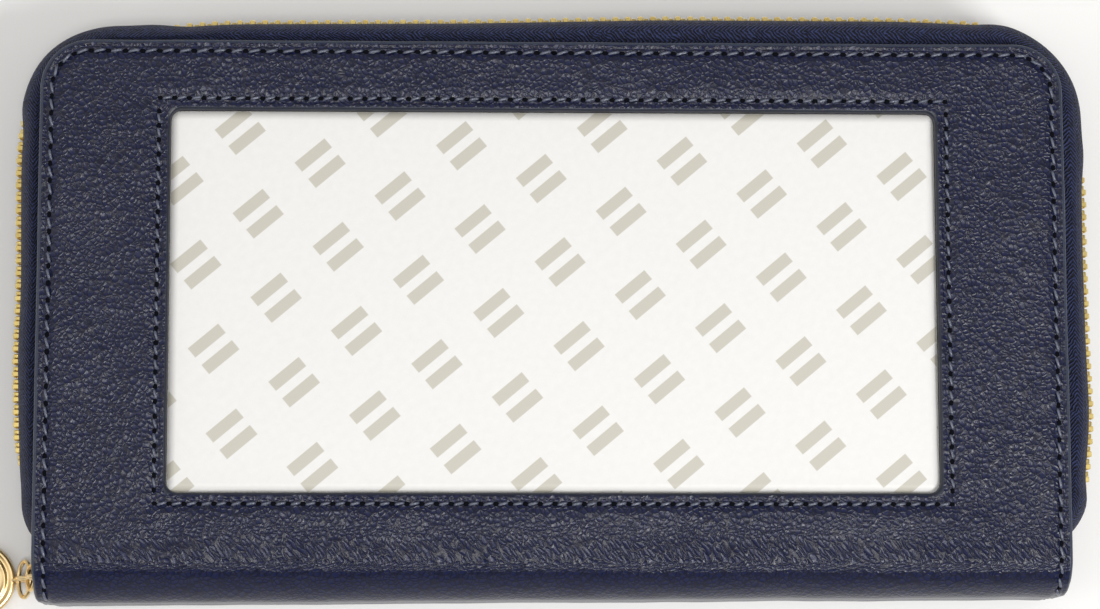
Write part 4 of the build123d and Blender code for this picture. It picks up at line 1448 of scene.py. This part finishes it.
# ---- room ----
def add_area(name, place, size, power):
    """Square lamp that faces the wallet."""
    data = bpy.data.lights.new(name, "AREA")
    data.size = size
    data.energy = power
    lamp = bpy.data.objects.new(name, data)
    bpy.context.scene.collection.objects.link(lamp)
    lamp.location = place
    lamp.rotation_mode = "QUATERNION"
    lamp.rotation_quaternion = (-Vector(place)).to_track_quat("-Z", "Y")


# Brightness of the studio by direction: (axis, from, to, value at from, value at to).
STUDIO_SHADES = (
    (2, 0.10, 0.90, 0.62, 0.84),
    (0, -1.0, 1.0, 1.6, 0.80),
    (1, -0.58, -0.20, 0.05, 1.0),
    (1, -0.94, -0.78, 16.0, 1.0),
    (1, -0.05, 0.25, 1.15, 0.50),
)


def studio_world():
    """Soft ceiling, brighter to the left, dim low in front so the spine shows a dark band."""
    s = Shader(bpy.data.worlds.new("studio"), "Background")
    direction = s.node("SeparateXYZ", Vector=s.node("TexCoord").outputs["Generated"]).outputs
    level = None
    for axis, *fade in STUDIO_SHADES:
        shade = s.spread(direction[axis], *fade)
        level = shade if level is None else s.times(level, shade)
    s.put(s.surface.inputs["Color"], (1.0, 0.99, 0.98, 1))
    s.put(s.surface.inputs["Strength"], level)
    return s.owner


# The floor, in metres; it lies where the fullest waves of the leather touch it.
FLOOR_HALF = 3.0
FLOOR_Z = -0.0006


def build_room():
    scene = bpy.context.scene
    scene.view_settings.view_transform = "Standard"
    mesh = bpy.data.meshes.new("floor")
    r, z = FLOOR_HALF, FLOOR_Z
    mesh.from_pydata([(-r, -r, z), (r, -r, z), (r, r, z), (-r, r, z)], [], [(0, 1, 2, 3)])
    mesh.materials.append(speckled("pale_floor", (236, 235, 233), (240, 240, 239), 3.0, 0.6))
    floor = bpy.data.objects.new("floor", mesh)
    scene.collection.objects.link(floor)
    scene.world = studio_world()
    add_area("key", (0.42, -0.36, 0.75), 0.20, 4.2)
    add_area("front", (-0.02, -0.16, 0.86), 0.13, 1.7)


def build_camera():
    data = bpy.data.cameras.new("camera")
    data.sensor_width = 36.0
    data.sensor_fit = "HORIZONTAL"
    data.lens = 108.0
    data.clip_start = 0.02
    data.clip_end = 20.0
    camera = bpy.data.objects.new("camera", data)
    bpy.context.scene.collection.objects.link(camera)
    camera.location = at(-21.87, -81.04, 617.04)
    camera.rotation_euler = [math.radians(v) for v in (7.9835, -2.0196, -0.1117)]
    bpy.context.scene.camera = camera


# ---- put together ----
build_skins()
build_threads()
zip_stations = zip_run(1.2)
build_tapes(zip_stations)
build_teeth(zip_stations)
build_liner()
build_linings()
build_spine_lining()
build_card_pockets()
build_gussets()
build_coin_pocket()
build_chain()
build_slider()
dress_cad_nodes()
build_room()
build_camera()
